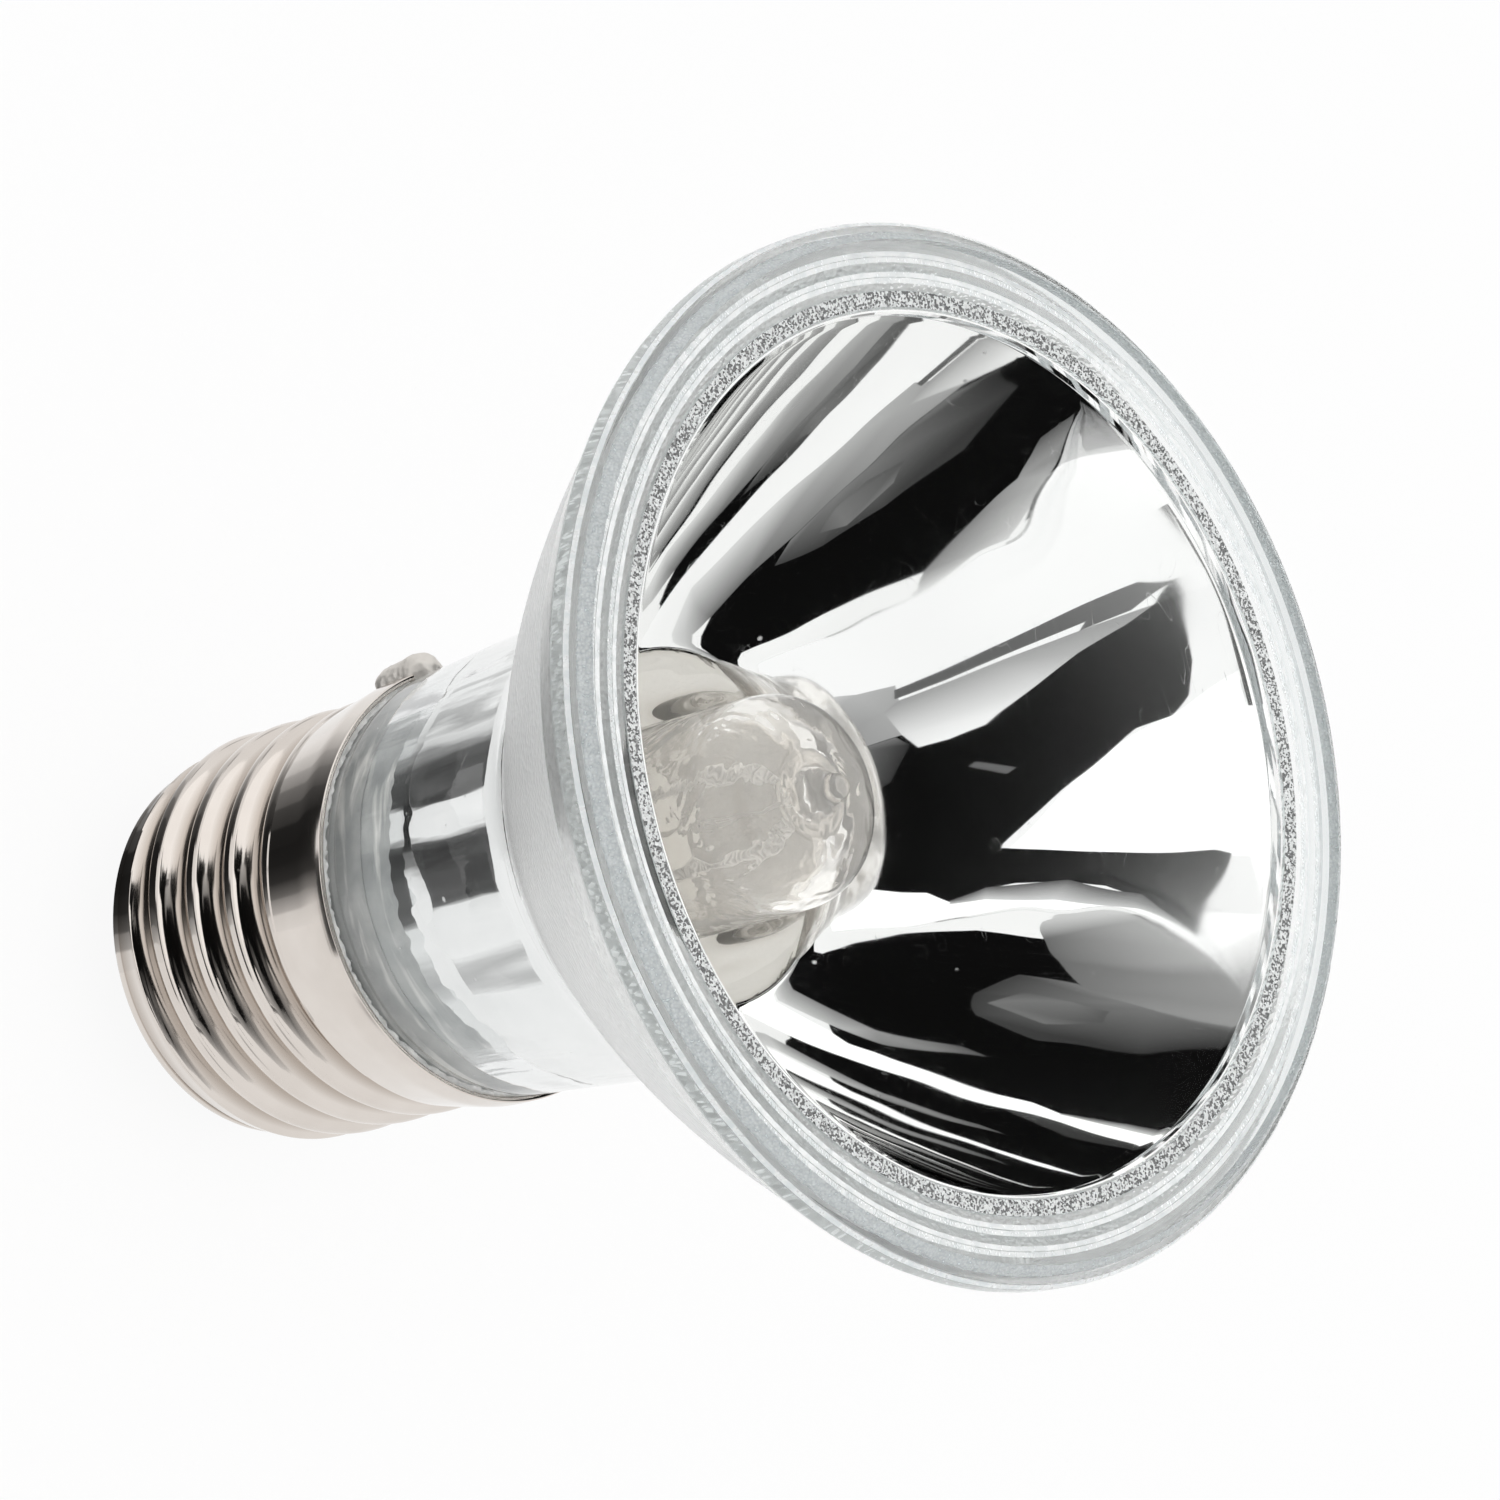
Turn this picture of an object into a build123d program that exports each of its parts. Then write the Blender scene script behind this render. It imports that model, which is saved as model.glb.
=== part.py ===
from build123d import *
import os
from math import cos, radians, sin, sqrt

# Reptile heat bulb: a halogen capsule in a mirrored pressed-glass reflector on a screw cap.
# Millimetres. +Z runs from the centre contact to the lens, and the origin is the contact's tip.

# Screw shell
cap_height = 27.0
thread_pitch = 3.629
thread_crest_radius = 13.2
thread_arc_radius = 1.025
thread_crest_angles = (35, 12)
thread_crest_height = 4.07
thread_run_in = 3.0
thread_seam_angle = 40
groove_reach = 0.3
root_flat_rise = 0.05
shell_wall = 0.35
shell_bottom_height = 4.6
shell_lip_radius = 10.9
shell_corner = 1.0
skirt_height = 5.6
skirt_mouth_radius = 13.85
skirt_rim_height = 1.8
skirt_step_height = 1.4
skirt_overlap = 0.3

# Insulator and centre contact
insulator_foot_height = 1.3
insulator_foot_radius = 5.9
insulator_seat_height = 1.9
contact_radius = 4.9
contact_thickness = 0.8
contact_chamfer = 0.5
contact_hole_radius = 0.9
contact_solder_radius = 2.0

# Reflector glass
reflector_height = 42.75
rim_radius = 32.25
rim_chamfer = 0.25
flange_thickness = 2.2
flange_back_radius = 31.4
flange_back_chamfer = 0.7
mirror_mouth_radius = 26.8
bowl_depth = 24.0
bowl_opening_radius = 10.8
flare_foot_radius = 16.6
flare_foot_depth = 22.6
flare_bulge = 0.9
neck_top_radius = 15.0
neck_top_depth = 25.4
neck_foot_radius = 13.65
neck_foot_rise = 1.3
neck_mouth_gap = 0.4
shoulder_drop = 1.0
shoulder_height = 4.0
spigot_gap = 0.7
spigot_depth = 12.0
spigot_bore_radius = 10.2

# Mirror film, thickened so that it is a solid
film_rise = 0.25
film_neck_thickness = 0.12
film_end_rise = 2.0

# Front lens and its seal
lens_setback = 1.35
lens_thickness = 1.25
lens_chamfer = 0.35
lens_plug_clearance = 0.2
lens_plug_depth = 0.6
stipple_outer_radius = 27.9
stipple_depth = 0.12
seal_width = 0.6
seal_height = 0.9
seal_edge_height = 0.35

# Halogen capsule
capsule_radius = 6.7
capsule_wall = 1.0
capsule_reach = 29.4
capsule_corner_radius = 3.4
tip_radius = 0.9
tip_height = 2.6
tip_root_radius = 1.9
pinch_thickness = 3.6
pinch_length = 8.0
pinch_shoulder_height = 6.5
cement_rise = 6.0
cement_cover = 2.2
cap_cement_drop = 0.3

# Current path
lead_spacing = 5.0
foil_width = 2.4
foil_thickness = 0.1
foil_length = 5.0
foil_margin = 1.0
inner_lead_radius = 0.3
inner_lead_height = 6.0
pin_radius = 0.45
pin_length = 5.0
filament_radius = 0.5
filament_height = 14.0
filament_bend_drop = 2.0
filament_bridge = 0.8
support_radius = 0.22
support_clearance = 0.05
contact_lead_radius = 0.3
contact_lead_clearance = 0.25
contact_lead_rise = 1.5
shell_lead_radius = 0.15
shell_lead_drop = 1.4
shell_lead_clearance = 0.06
side_solder_radius = 1.5
side_solder_sink = 0.3
side_solder_drop = 0.7
solder_tail_radius = 1.15
solder_tail_drop = 2.0
solder_tail_shift = 0.6

# Heights and radii that follow from the sizes above
thread_depth = 2 * (thread_arc_radius - sqrt(thread_arc_radius**2 - (thread_pitch / 4) ** 2))
root_radius = thread_crest_radius - thread_depth
core_radius = root_radius + root_flat_rise
crest_centre_radius = thread_crest_radius - thread_arc_radius
skirt_foot_radius = crest_centre_radius + thread_arc_radius * cos(radians(thread_crest_angles[-1]))
groove_reach_radius = thread_crest_radius + groove_reach
bore_radius = core_radius - shell_wall
skirt_foot = cap_height - skirt_height
skirt_step_foot = skirt_foot - skirt_step_height
skirt_rim_foot = cap_height - skirt_rim_height
mouth_bore_radius = skirt_mouth_radius - shell_wall
lip_top = shell_bottom_height + shell_wall
inner_corner = shell_corner - shell_wall
contact_bottom = insulator_foot_height - contact_thickness
ledge_height = cap_height + reflector_height
front_height = ledge_height + lens_thickness
lens_radius = rim_radius - lens_setback
opening_height = ledge_height - bowl_depth
spigot_radius = bore_radius - spigot_gap
spigot_bottom = cap_height - spigot_depth
neck_mouth_radius = mouth_bore_radius - neck_mouth_gap
shoulder_top = cap_height - shoulder_drop
shoulder_foot = shoulder_top - shoulder_height
pinch_top = cap_height
pinch_bottom = pinch_top - pinch_length
pinch_half = pinch_thickness / 2
capsule_foot = pinch_top + pinch_shoulder_height
capsule_top = cap_height + capsule_reach
capsule_end = capsule_top + tip_height
foil_bottom = pinch_bottom + foil_margin
foil_top = foil_bottom + foil_length
pin_bottom = pinch_bottom - pin_length
lead_x = lead_spacing / 2
sides = (-1, 1)
inner_lead_top = capsule_foot + inner_lead_height
filament_top = inner_lead_top + filament_height


def turned(*outline):
    """Solid of revolution about Z of a closed outline drawn as radius and height."""
    return revolve(Plane.XZ * make_face(outline), Axis.Z)


def wire_along(route, radius):
    """Round wire that follows a route, kinked at its corners."""
    section = Plane(origin=route @ 0, z_dir=route % 0) * Circle(radius)
    return sweep(section, path=route, transition=Transition.RIGHT)


def rod(x, bottom, top, radius):
    """Upright round rod at a distance from the axis."""
    return Pos(x, 0, (bottom + top) / 2) * Cylinder(radius, top - bottom)


# Screw shell: a thin drawn shell with a rolled round thread and a flared skirt
def shell_inside_top():
    """Inside of the shell from the thread's bore to its mouth, as stretches of its outline."""
    foot = skirt_foot_radius - shell_wall
    return [
        Line((bore_radius, skirt_step_foot), (foot, skirt_foot)),
        Line((foot, skirt_foot), (mouth_bore_radius, skirt_rim_foot)),
    ]


def thread_blank():
    """Filled lower part of the shell before its thread is rolled, with its seam clear of the groove."""
    corner_top = shell_bottom_height + shell_corner
    outline = Polyline(
        (0, shell_bottom_height),
        (core_radius - shell_corner, shell_bottom_height),
        (core_radius, corner_top),
        (skirt_foot_radius, corner_top + thread_run_in),
        (skirt_foot_radius, skirt_foot - skirt_overlap),
        (0, skirt_foot - skirt_overlap),
        close=True,
    )
    return Rot(0, 0, thread_seam_angle) * turned(*outline.edges())


def skirt_form():
    """Filled upper part of the shell: a step that closes the groove, the flared skirt and its rim."""
    step_slope = skirt_step_height / (skirt_foot_radius - core_radius)
    step_inside = shell_wall / 2
    step_bottom = skirt_step_foot - step_slope * step_inside
    outline = Polyline(
        (0, step_bottom),
        (core_radius - step_inside, step_bottom),
        (skirt_foot_radius, skirt_foot),
        (skirt_mouth_radius, skirt_rim_foot),
        (skirt_mouth_radius, cap_height),
        (0, cap_height),
        close=True,
    )
    return turned(*outline.edges())


def shell_hollow():
    """Space inside the shell."""
    corner_foot = bore_radius - inner_corner
    corner_top = lip_top + inner_corner
    return turned(
        Line((0, lip_top), (corner_foot, lip_top)),
        Line((corner_foot, lip_top), (bore_radius, corner_top)),
        Line((bore_radius, corner_top), (bore_radius, skirt_step_foot)),
        *shell_inside_top(),
        Line((mouth_bore_radius, skirt_rim_foot), (mouth_bore_radius, cap_height)),
        Line((mouth_bore_radius, cap_height), (0, cap_height)),
        Line((0, cap_height), (0, lip_top)),
    )


def groove_section():
    """Groove between two crests, rounded by a few flats and open to the outside."""
    root_half = sqrt(thread_arc_radius**2 - (root_radius + thread_arc_radius - core_radius) ** 2)
    side = [(core_radius, root_half), (thread_crest_radius - thread_depth / 2, thread_pitch / 4)]
    for angle in thread_crest_angles:
        radius = crest_centre_radius + thread_arc_radius * cos(radians(angle))
        side.append((radius, thread_pitch / 2 - thread_arc_radius * sin(radians(angle))))
    side.append((groove_reach_radius, side[-1][1]))
    other_side = [(radius, -height) for radius, height in reversed(side)]
    return make_face(Polyline(*side, *other_side, close=True).edges())


def thread_groove():
    """Groove along a right-hand helix from below the shell to above its step."""
    start = thread_crest_height - 1.5 * thread_pitch
    turns = int((skirt_foot - start) / thread_pitch) + 1.5
    path = Helix(thread_pitch, thread_pitch * turns, core_radius, center=(0, 0, start))
    return sweep(Pos(0, 0, start) * (Plane.XZ * groove_section()), path=path, is_frenet=True)


lip_hole = rod(0, shell_bottom_height - shell_wall, lip_top + shell_wall, shell_lip_radius)
shell_form = thread_blank() - thread_groove() + skirt_form()
screw_shell = shell_form - shell_hollow() - lip_hole

# Insulator of black glass, which fills the lower end of the shell and carries the contact
insulator_hole_radius = contact_lead_radius + contact_lead_clearance
insulator_top = lip_top + insulator_seat_height
insulator_outline = Polyline(
    (insulator_hole_radius, insulator_foot_height),
    (insulator_foot_radius, insulator_foot_height),
    (shell_lip_radius, shell_bottom_height),
    (shell_lip_radius, lip_top),
    (bore_radius - inner_corner, lip_top),
    (bore_radius, lip_top + inner_corner),
    (bore_radius, insulator_top),
    (insulator_hole_radius, insulator_top),
    close=True,
)
shell_insulator = turned(*insulator_outline.edges())

# Centre contact and the solder that closes it
contact_outline = Polyline(
    (contact_hole_radius, insulator_foot_height),
    (contact_radius, insulator_foot_height),
    (contact_radius, contact_bottom + contact_chamfer),
    (contact_radius - contact_chamfer, contact_bottom),
    (contact_hole_radius, contact_bottom),
    close=True,
)
centre_contact = turned(*contact_outline.edges())
solder_dome_radius = (contact_solder_radius**2 + contact_bottom**2) / (2 * contact_bottom)
contact_solder = turned(
    RadiusArc((0, 0), (contact_solder_radius, contact_bottom), -solder_dome_radius),
    Line((contact_solder_radius, contact_bottom), (contact_hole_radius, contact_bottom)),
    Line((contact_hole_radius, contact_bottom), (contact_hole_radius, insulator_foot_height)),
    Line((contact_hole_radius, insulator_foot_height), (0, insulator_foot_height)),
    Line((0, insulator_foot_height), (0, 0)),
)

# Parabola of the mirror and taper of the neck's bore
bowl_steepness = bowl_depth / (mirror_mouth_radius**2 - bowl_opening_radius**2)
bowl_vertex = opening_height - bowl_steepness * bowl_opening_radius**2


def bowl_height(radius, rise):
    """Height of the bowl's parabola at a radius, raised along the axis."""
    return bowl_vertex + rise + bowl_steepness * radius**2


def bowl_radius(height, rise):
    """Radius of the bowl's parabola at a height, raised along the axis."""
    return sqrt((height - bowl_vertex - rise) / bowl_steepness)


def bowl_curve(inner, outer, rise):
    """Stretch of the bowl's parabola between two radii, raised along the axis."""
    bend = ((inner + outer) / 2, bowl_vertex + rise + bowl_steepness * inner * outer)
    return Bezier((inner, bowl_height(inner, rise)), bend, (outer, bowl_height(outer, rise)))


def neck_bore_radius(height):
    """Radius of the neck's bore, which narrows from the bowl's opening to the spigot's end."""
    share = (height - spigot_bottom) / (opening_height - spigot_bottom)
    return spigot_bore_radius + share * (bowl_opening_radius - spigot_bore_radius)


# Reflector of pressed glass: spigot, neck, flared bowl and flange in one piece
neck_foot = cap_height + neck_foot_rise
neck_top = ledge_height - neck_top_depth
flare_foot = ledge_height - flare_foot_depth
flange_back = ledge_height - flange_thickness
rim_foot = flange_back + flange_back_chamfer
rim_edge = rim_radius - rim_chamfer
rim_edge_foot = ledge_height - rim_chamfer
reflector_glass = turned(
    Line((spigot_bore_radius, spigot_bottom), (spigot_radius, spigot_bottom)),
    Line((spigot_radius, spigot_bottom), (spigot_radius, shoulder_foot)),
    Line((spigot_radius, shoulder_foot), (neck_mouth_radius, shoulder_top)),
    Line((neck_mouth_radius, shoulder_top), (neck_mouth_radius, cap_height)),
    Line((neck_mouth_radius, cap_height), (neck_foot_radius, neck_foot)),
    Line((neck_foot_radius, neck_foot), (neck_top_radius, neck_top)),
    Line((neck_top_radius, neck_top), (flare_foot_radius, flare_foot)),
    SagittaArc((flare_foot_radius, flare_foot), (flange_back_radius, flange_back), -flare_bulge),
    Line((flange_back_radius, flange_back), (rim_radius, rim_foot)),
    Line((rim_radius, rim_foot), (rim_radius, rim_edge_foot)),
    Line((rim_radius, rim_edge_foot), (rim_edge, ledge_height)),
    Line((rim_edge, ledge_height), (mirror_mouth_radius, ledge_height)),
    bowl_curve(bowl_opening_radius, mirror_mouth_radius, 0),
    Line((bowl_opening_radius, opening_height), (spigot_bore_radius, spigot_bottom)),
)

# Mirror film on the inside of the bowl and the neck
film_end = cap_height + film_end_rise
film_foot = neck_bore_radius(film_end)
film_foot_inside = film_foot - film_neck_thickness
film_opening = bowl_opening_radius - film_neck_thickness
film_mouth = bowl_radius(ledge_height, film_rise)
mirror_film = turned(
    Line((film_foot, film_end), (bowl_opening_radius, opening_height)),
    bowl_curve(bowl_opening_radius, mirror_mouth_radius, 0),
    Line((mirror_mouth_radius, ledge_height), (film_mouth, ledge_height)),
    bowl_curve(film_opening, film_mouth, film_rise),
    Line((film_opening, bowl_height(film_opening, film_rise)), (film_foot_inside, film_end)),
    Line((film_foot_inside, film_end), (film_foot, film_end)),
)

# Front lens with a plug that centres it in the bowl, a stippled ring and a seal round its edge
plug_bottom = ledge_height - lens_plug_depth
plug_radius = bowl_radius(plug_bottom, film_rise) - lens_plug_clearance
stipple_face = ledge_height + stipple_depth
lens_edge = lens_radius - lens_chamfer
lens_edge_foot = front_height - lens_chamfer
front_lens = turned(
    Line((0, front_height), (lens_edge, front_height)),
    Line((lens_edge, front_height), (lens_radius, lens_edge_foot)),
    Line((lens_radius, lens_edge_foot), (lens_radius, ledge_height)),
    Line((lens_radius, ledge_height), (stipple_outer_radius, ledge_height)),
    Line((stipple_outer_radius, ledge_height), (stipple_outer_radius, stipple_face)),
    Line((stipple_outer_radius, stipple_face), (plug_radius, stipple_face)),
    Line((plug_radius, stipple_face), (plug_radius, plug_bottom)),
    Line((plug_radius, plug_bottom), (0, plug_bottom)),
    Line((0, plug_bottom), (0, front_height)),
)
seal_edge = lens_radius + seal_width
seal_top = ledge_height + seal_height
seal_shoulder = ledge_height + seal_edge_height
rim_seal = turned(
    Line((lens_radius, ledge_height), (seal_edge, ledge_height)),
    Line((seal_edge, ledge_height), (seal_edge, seal_shoulder)),
    Line((seal_edge, seal_shoulder), (lens_radius, seal_top)),
    Line((lens_radius, seal_top), (lens_radius, ledge_height)),
)


# Halogen capsule: a quartz tube, sealed in front at a tip and pinched flat behind
def capsule_tube(inset):
    """Filled form of the tube's outside, or of its inside where it is set in by the wall."""
    radius = capsule_radius - inset
    top = capsule_top - inset
    corner = capsule_corner_radius - inset
    return turned(
        Line((0, pinch_bottom), (radius, pinch_bottom)),
        Line((radius, pinch_bottom), (radius, top - corner)),
        RadiusArc((radius, top - corner), (radius - corner, top), -corner),
        Line((radius - corner, top), (0, top)),
        Line((0, top), (0, pinch_bottom)),
    )


def pinch_block(bottom, half_bottom, shoulder_foot_height, shoulder_top_height):
    """Block across the tube, thin at the pinch, that widens in a smooth shoulder to the full tube."""
    wide = capsule_radius + capsule_wall
    middle = (shoulder_foot_height + shoulder_top_height) / 2
    outline = [
        Line((-half_bottom, bottom), (half_bottom, bottom)),
        Line((wide, capsule_end), (-wide, capsule_end)),
    ]
    for side in sides:
        foot = (side * half_bottom, shoulder_foot_height)
        top = (side * wide, shoulder_top_height)
        outline += [
            Line((side * half_bottom, bottom), foot),
            Bezier(foot, (side * half_bottom, middle), (side * wide, middle), top),
            Line(top, (side * wide, capsule_end)),
        ]
    return extrude(Plane.YZ * make_face(outline), wide, both=True)


tip_dome = capsule_end - tip_radius
exhaust_tip = turned(
    Line((0, capsule_top - capsule_wall), (tip_root_radius, capsule_top - capsule_wall)),
    Line((tip_root_radius, capsule_top - capsule_wall), (tip_root_radius, capsule_top)),
    Line((tip_root_radius, capsule_top), (tip_radius, tip_dome)),
    RadiusArc((tip_radius, tip_dome), (0, capsule_end), -tip_radius),
    Line((0, capsule_end), (0, capsule_top - capsule_wall)),
)
capsule_block = pinch_block(pinch_bottom, pinch_half, pinch_top, capsule_foot)
capsule_form = (capsule_tube(0) + exhaust_tip) & capsule_block
chamber_foot = pinch_top + capsule_wall
chamber_shoulder = chamber_foot + capsule_wall
chamber_block = pinch_block(chamber_foot, inner_lead_radius, chamber_shoulder, capsule_foot + capsule_wall)
capsule_chamber = capsule_tube(capsule_wall) & chamber_block

# Current path inside the capsule
seal_foils = Part()
inner_leads = Part()
outer_pins = Part()
for side in sides:
    foil_centre = Pos(side * lead_x, 0, (foil_bottom + foil_top) / 2)
    seal_foils += foil_centre * Box(foil_width, foil_thickness, foil_length)
    inner_leads += rod(side * lead_x, foil_top, inner_lead_top, inner_lead_radius)
    outer_pins += rod(side * lead_x, pin_bottom, foil_bottom, pin_radius)
filament_bend = filament_top - filament_bend_drop
filament_route = Polyline(
    (-lead_x, 0, inner_lead_top),
    (-lead_x, 0, filament_bend),
    (-filament_bridge, 0, filament_top),
    (filament_bridge, 0, filament_top),
    (lead_x, 0, filament_bend),
    (lead_x, 0, inner_lead_top),
)
filament = wire_along(filament_route, filament_radius)
support_top = filament_top - filament_radius - support_clearance
filament_support = rod(0, pinch_top, support_top, support_radius)
capsule_envelope = capsule_form - capsule_chamber - seal_foils - inner_leads - outer_pins - filament_support

# Cement that holds the capsule in the neck
cement_bottom = pinch_bottom - cement_cover
cement_top = cap_height + cement_rise
cement_outline = Polyline(
    (0, cement_bottom),
    (neck_bore_radius(cement_bottom), cement_bottom),
    (neck_bore_radius(cement_top), cement_top),
    (0, cement_top),
    close=True,
)
capsule_cement = turned(*cement_outline.edges()) - capsule_form - outer_pins - mirror_film

# Leads from the capsule's pins to the contact and, over the shell's rim, to the side solder
contact_lead_foot = insulator_top + contact_lead_rise
contact_lead_bend = (pin_bottom + contact_lead_foot) / 2
contact_lead_route = Polyline(
    (lead_x, 0, pin_bottom),
    (lead_x, 0, contact_lead_bend),
    (0, 0, contact_lead_foot),
    (0, 0, insulator_foot_height),
)
contact_lead = wire_along(contact_lead_route, contact_lead_radius)
lead_slot_radius = bore_radius - spigot_gap / 2
lead_mouth_radius = mouth_bore_radius - neck_mouth_gap / 2
lead_floor = pin_bottom - shell_lead_drop
lead_over_rim = cap_height + shell_lead_clearance + shell_lead_radius
shell_lead_route = Polyline(
    (-lead_x, 0, pin_bottom),
    (-lead_x, 0, lead_floor),
    (-lead_slot_radius, 0, lead_floor),
    (-lead_slot_radius, 0, shoulder_foot),
    (-lead_mouth_radius, 0, skirt_rim_foot),
    (-lead_mouth_radius, 0, lead_over_rim),
    (-skirt_mouth_radius - side_solder_radius / 3, 0, lead_over_rim),
)
shell_lead = wire_along(shell_lead_route, shell_lead_radius)

# Basing cement between the spigot and the shell
cap_cement_top = cap_height - cap_cement_drop
cap_cement_ring = turned(
    Line((bore_radius, spigot_bottom), (bore_radius, skirt_step_foot)),
    *shell_inside_top(),
    Line((mouth_bore_radius, skirt_rim_foot), (mouth_bore_radius, cap_cement_top)),
    Line((mouth_bore_radius, cap_cement_top), (neck_mouth_radius, cap_cement_top)),
    Line((neck_mouth_radius, cap_cement_top), (neck_mouth_radius, shoulder_top)),
    Line((neck_mouth_radius, shoulder_top), (spigot_radius, shoulder_foot)),
    Line((spigot_radius, shoulder_foot), (spigot_radius, spigot_bottom)),
    Line((spigot_radius, spigot_bottom), (bore_radius, spigot_bottom)),
)
cap_cement = cap_cement_ring - shell_lead

# Solder that joins the lead to the rim of the shell, a bead with a smaller one run down beside it
solder_x = side_solder_sink - skirt_mouth_radius
solder_z = cap_height - side_solder_drop
solder_bead = Pos(solder_x, 0, solder_z) * Sphere(side_solder_radius)
solder_tail = Pos(solder_x, -solder_tail_shift, solder_z - solder_tail_drop) * Sphere(solder_tail_radius)
side_solder = solder_bead + solder_tail - skirt_form() - reflector_glass - shell_lead

pieces = {
    "screw_shell": screw_shell,
    "shell_insulator": shell_insulator,
    "centre_contact": centre_contact,
    "contact_solder": contact_solder,
    "side_solder": side_solder,
    "cap_cement": cap_cement,
    "reflector_glass": reflector_glass,
    "mirror_film": mirror_film,
    "front_lens": front_lens,
    "rim_seal": rim_seal,
    "capsule_envelope": capsule_envelope,
    "capsule_cement": capsule_cement,
    "seal_foils": seal_foils,
    "inner_leads": inner_leads,
    "outer_pins": outer_pins,
    "filament": filament,
    "filament_support": filament_support,
    "contact_lead": contact_lead,
    "shell_lead": shell_lead,
}
os.makedirs("parts", exist_ok=True)
for name, piece in pieces.items():
    export_step(piece, f"parts/{name}.step")
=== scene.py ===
from math import atan2, ceil, cos, hypot, pi, radians, sin, sqrt
import bpy
from mathutils import Matrix, Vector, noise


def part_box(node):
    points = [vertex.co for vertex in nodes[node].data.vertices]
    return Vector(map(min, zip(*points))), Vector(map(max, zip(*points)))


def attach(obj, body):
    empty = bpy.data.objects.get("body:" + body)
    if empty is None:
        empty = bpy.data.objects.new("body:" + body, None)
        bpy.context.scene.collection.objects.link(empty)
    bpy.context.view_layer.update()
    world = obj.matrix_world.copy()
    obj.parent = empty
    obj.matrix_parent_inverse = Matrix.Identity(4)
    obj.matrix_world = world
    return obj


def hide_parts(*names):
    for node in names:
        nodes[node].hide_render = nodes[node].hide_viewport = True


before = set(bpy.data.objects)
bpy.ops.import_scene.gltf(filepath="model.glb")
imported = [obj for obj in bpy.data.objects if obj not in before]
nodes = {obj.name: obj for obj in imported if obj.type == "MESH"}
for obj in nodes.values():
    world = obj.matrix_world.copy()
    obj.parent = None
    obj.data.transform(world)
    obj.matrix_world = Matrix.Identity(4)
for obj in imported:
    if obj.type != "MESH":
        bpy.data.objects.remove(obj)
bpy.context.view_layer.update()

# Reptile heat bulb: looks for the mirrored glass reflector, its lens, the quartz capsule and the screw cap.
# The scene is in metres and in the frame of the solids. Sizes below are in millimetres and times MM.
MM = 0.001

# Heights and radii that are read from the solids
shell_low, shell_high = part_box("screw_shell")
glass_low, glass_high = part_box("reflector_glass")
film_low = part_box("mirror_film")[0]
lens_low, lens_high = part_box("front_lens")
seal_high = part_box("rim_seal")[1]
capsule_low, capsule_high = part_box("capsule_envelope")
filament_low, filament_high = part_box("filament")
cement_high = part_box("capsule_cement")[1]
shell_bottom = shell_low.z
shell_mouth = shell_high.z
skirt_radius = shell_high.y
rim_radius = glass_high.x
ledge_height = glass_high.z
spigot_bottom = glass_low.z
front_height = lens_high.z
lens_radius = lens_high.x
plug_bottom = lens_low.z

# Screw shell
THREAD_PITCH = 3.629 * MM
THREAD_CREST_RADIUS = 13.2 * MM
THREAD_ARC = 1.025 * MM
THREAD_CREST_HEIGHT = 4.07 * MM
SHELL_WALL = 0.35 * MM
SHELL_LIP_RADIUS = 10.9 * MM
SHELL_CORNER = 1.0 * MM
THREAD_RUN_IN = 3.0 * MM
SKIRT_FOOT_RADIUS = 13.178 * MM
skirt_foot = shell_mouth - 5.6 * MM
skirt_step_foot = skirt_foot - 1.4 * MM
skirt_rim_foot = shell_mouth - 1.8 * MM
RING_SPACING = 0.13 * MM
SHELL_CORE_RADIUS = THREAD_CREST_RADIUS - 1.05 * MM
shell_corner_top = shell_bottom + SHELL_CORNER

# Reflector and its mirror
MIRROR_MOUTH_RADIUS = 26.8 * MM
OPENING_RADIUS = 10.8 * MM
opening_height = ledge_height - 24.0 * MM
SPIGOT_RADIUS = 11.1 * MM
SPIGOT_BORE = 10.2 * MM
FILM_RISE = 0.25 * MM
FILM_NECK = 0.12 * MM
SINK = 0.02 * MM
NECK_WAVE = 0.14 * MM
EDGE_ROUND = 0.12 * MM
LIP_ROUND = 0.9 * MM
bowl_steepness = 24.0 * MM / (MIRROR_MOUTH_RADIUS**2 - OPENING_RADIUS**2)
bowl_vertex = opening_height - bowl_steepness * OPENING_RADIUS**2

# Camera: where it stands and how it is turned
CAMERA_PLACE = Vector((-3.57, -410.26, 456.60)) * MM
CAMERA_FORWARD = Vector((0.0, 0.71223, -0.70195)).normalized()
CAMERA_RIGHT = Vector((0.27072, 0.67574, 0.68563))
CAMERA_LENS = 228.5
STUDIO_CENTRE = Vector((0, 0, 55)) * MM

# Other values that more than one function uses
GLASS_IOR = 1.5
CEMENT_ROUGH = (0.75, 0.95)
CEMENT_PITS = (2200.0, 4.0)
CEMENT_RELIEF = (0.6, 0.15 * MM)
WIRE_SIDES = 6
FAINT_SHINE = (0.02, 0.02, 0.02, 1.0)
MIX_FIRST, MIX_SECOND, MIX_RESULT = 6, 7, 2  # sockets of a mix node that hold colours


def between(low, high, share):
    """Value part of the way from one to another."""
    return low + (high - low) * share


def smooth_step(low, high, value):
    """Soft rise from 0 to 1 between two values."""
    share = min(max((value - low) / (high - low), 0.0), 1.0)
    return share * share * (3 - 2 * share)


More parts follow.
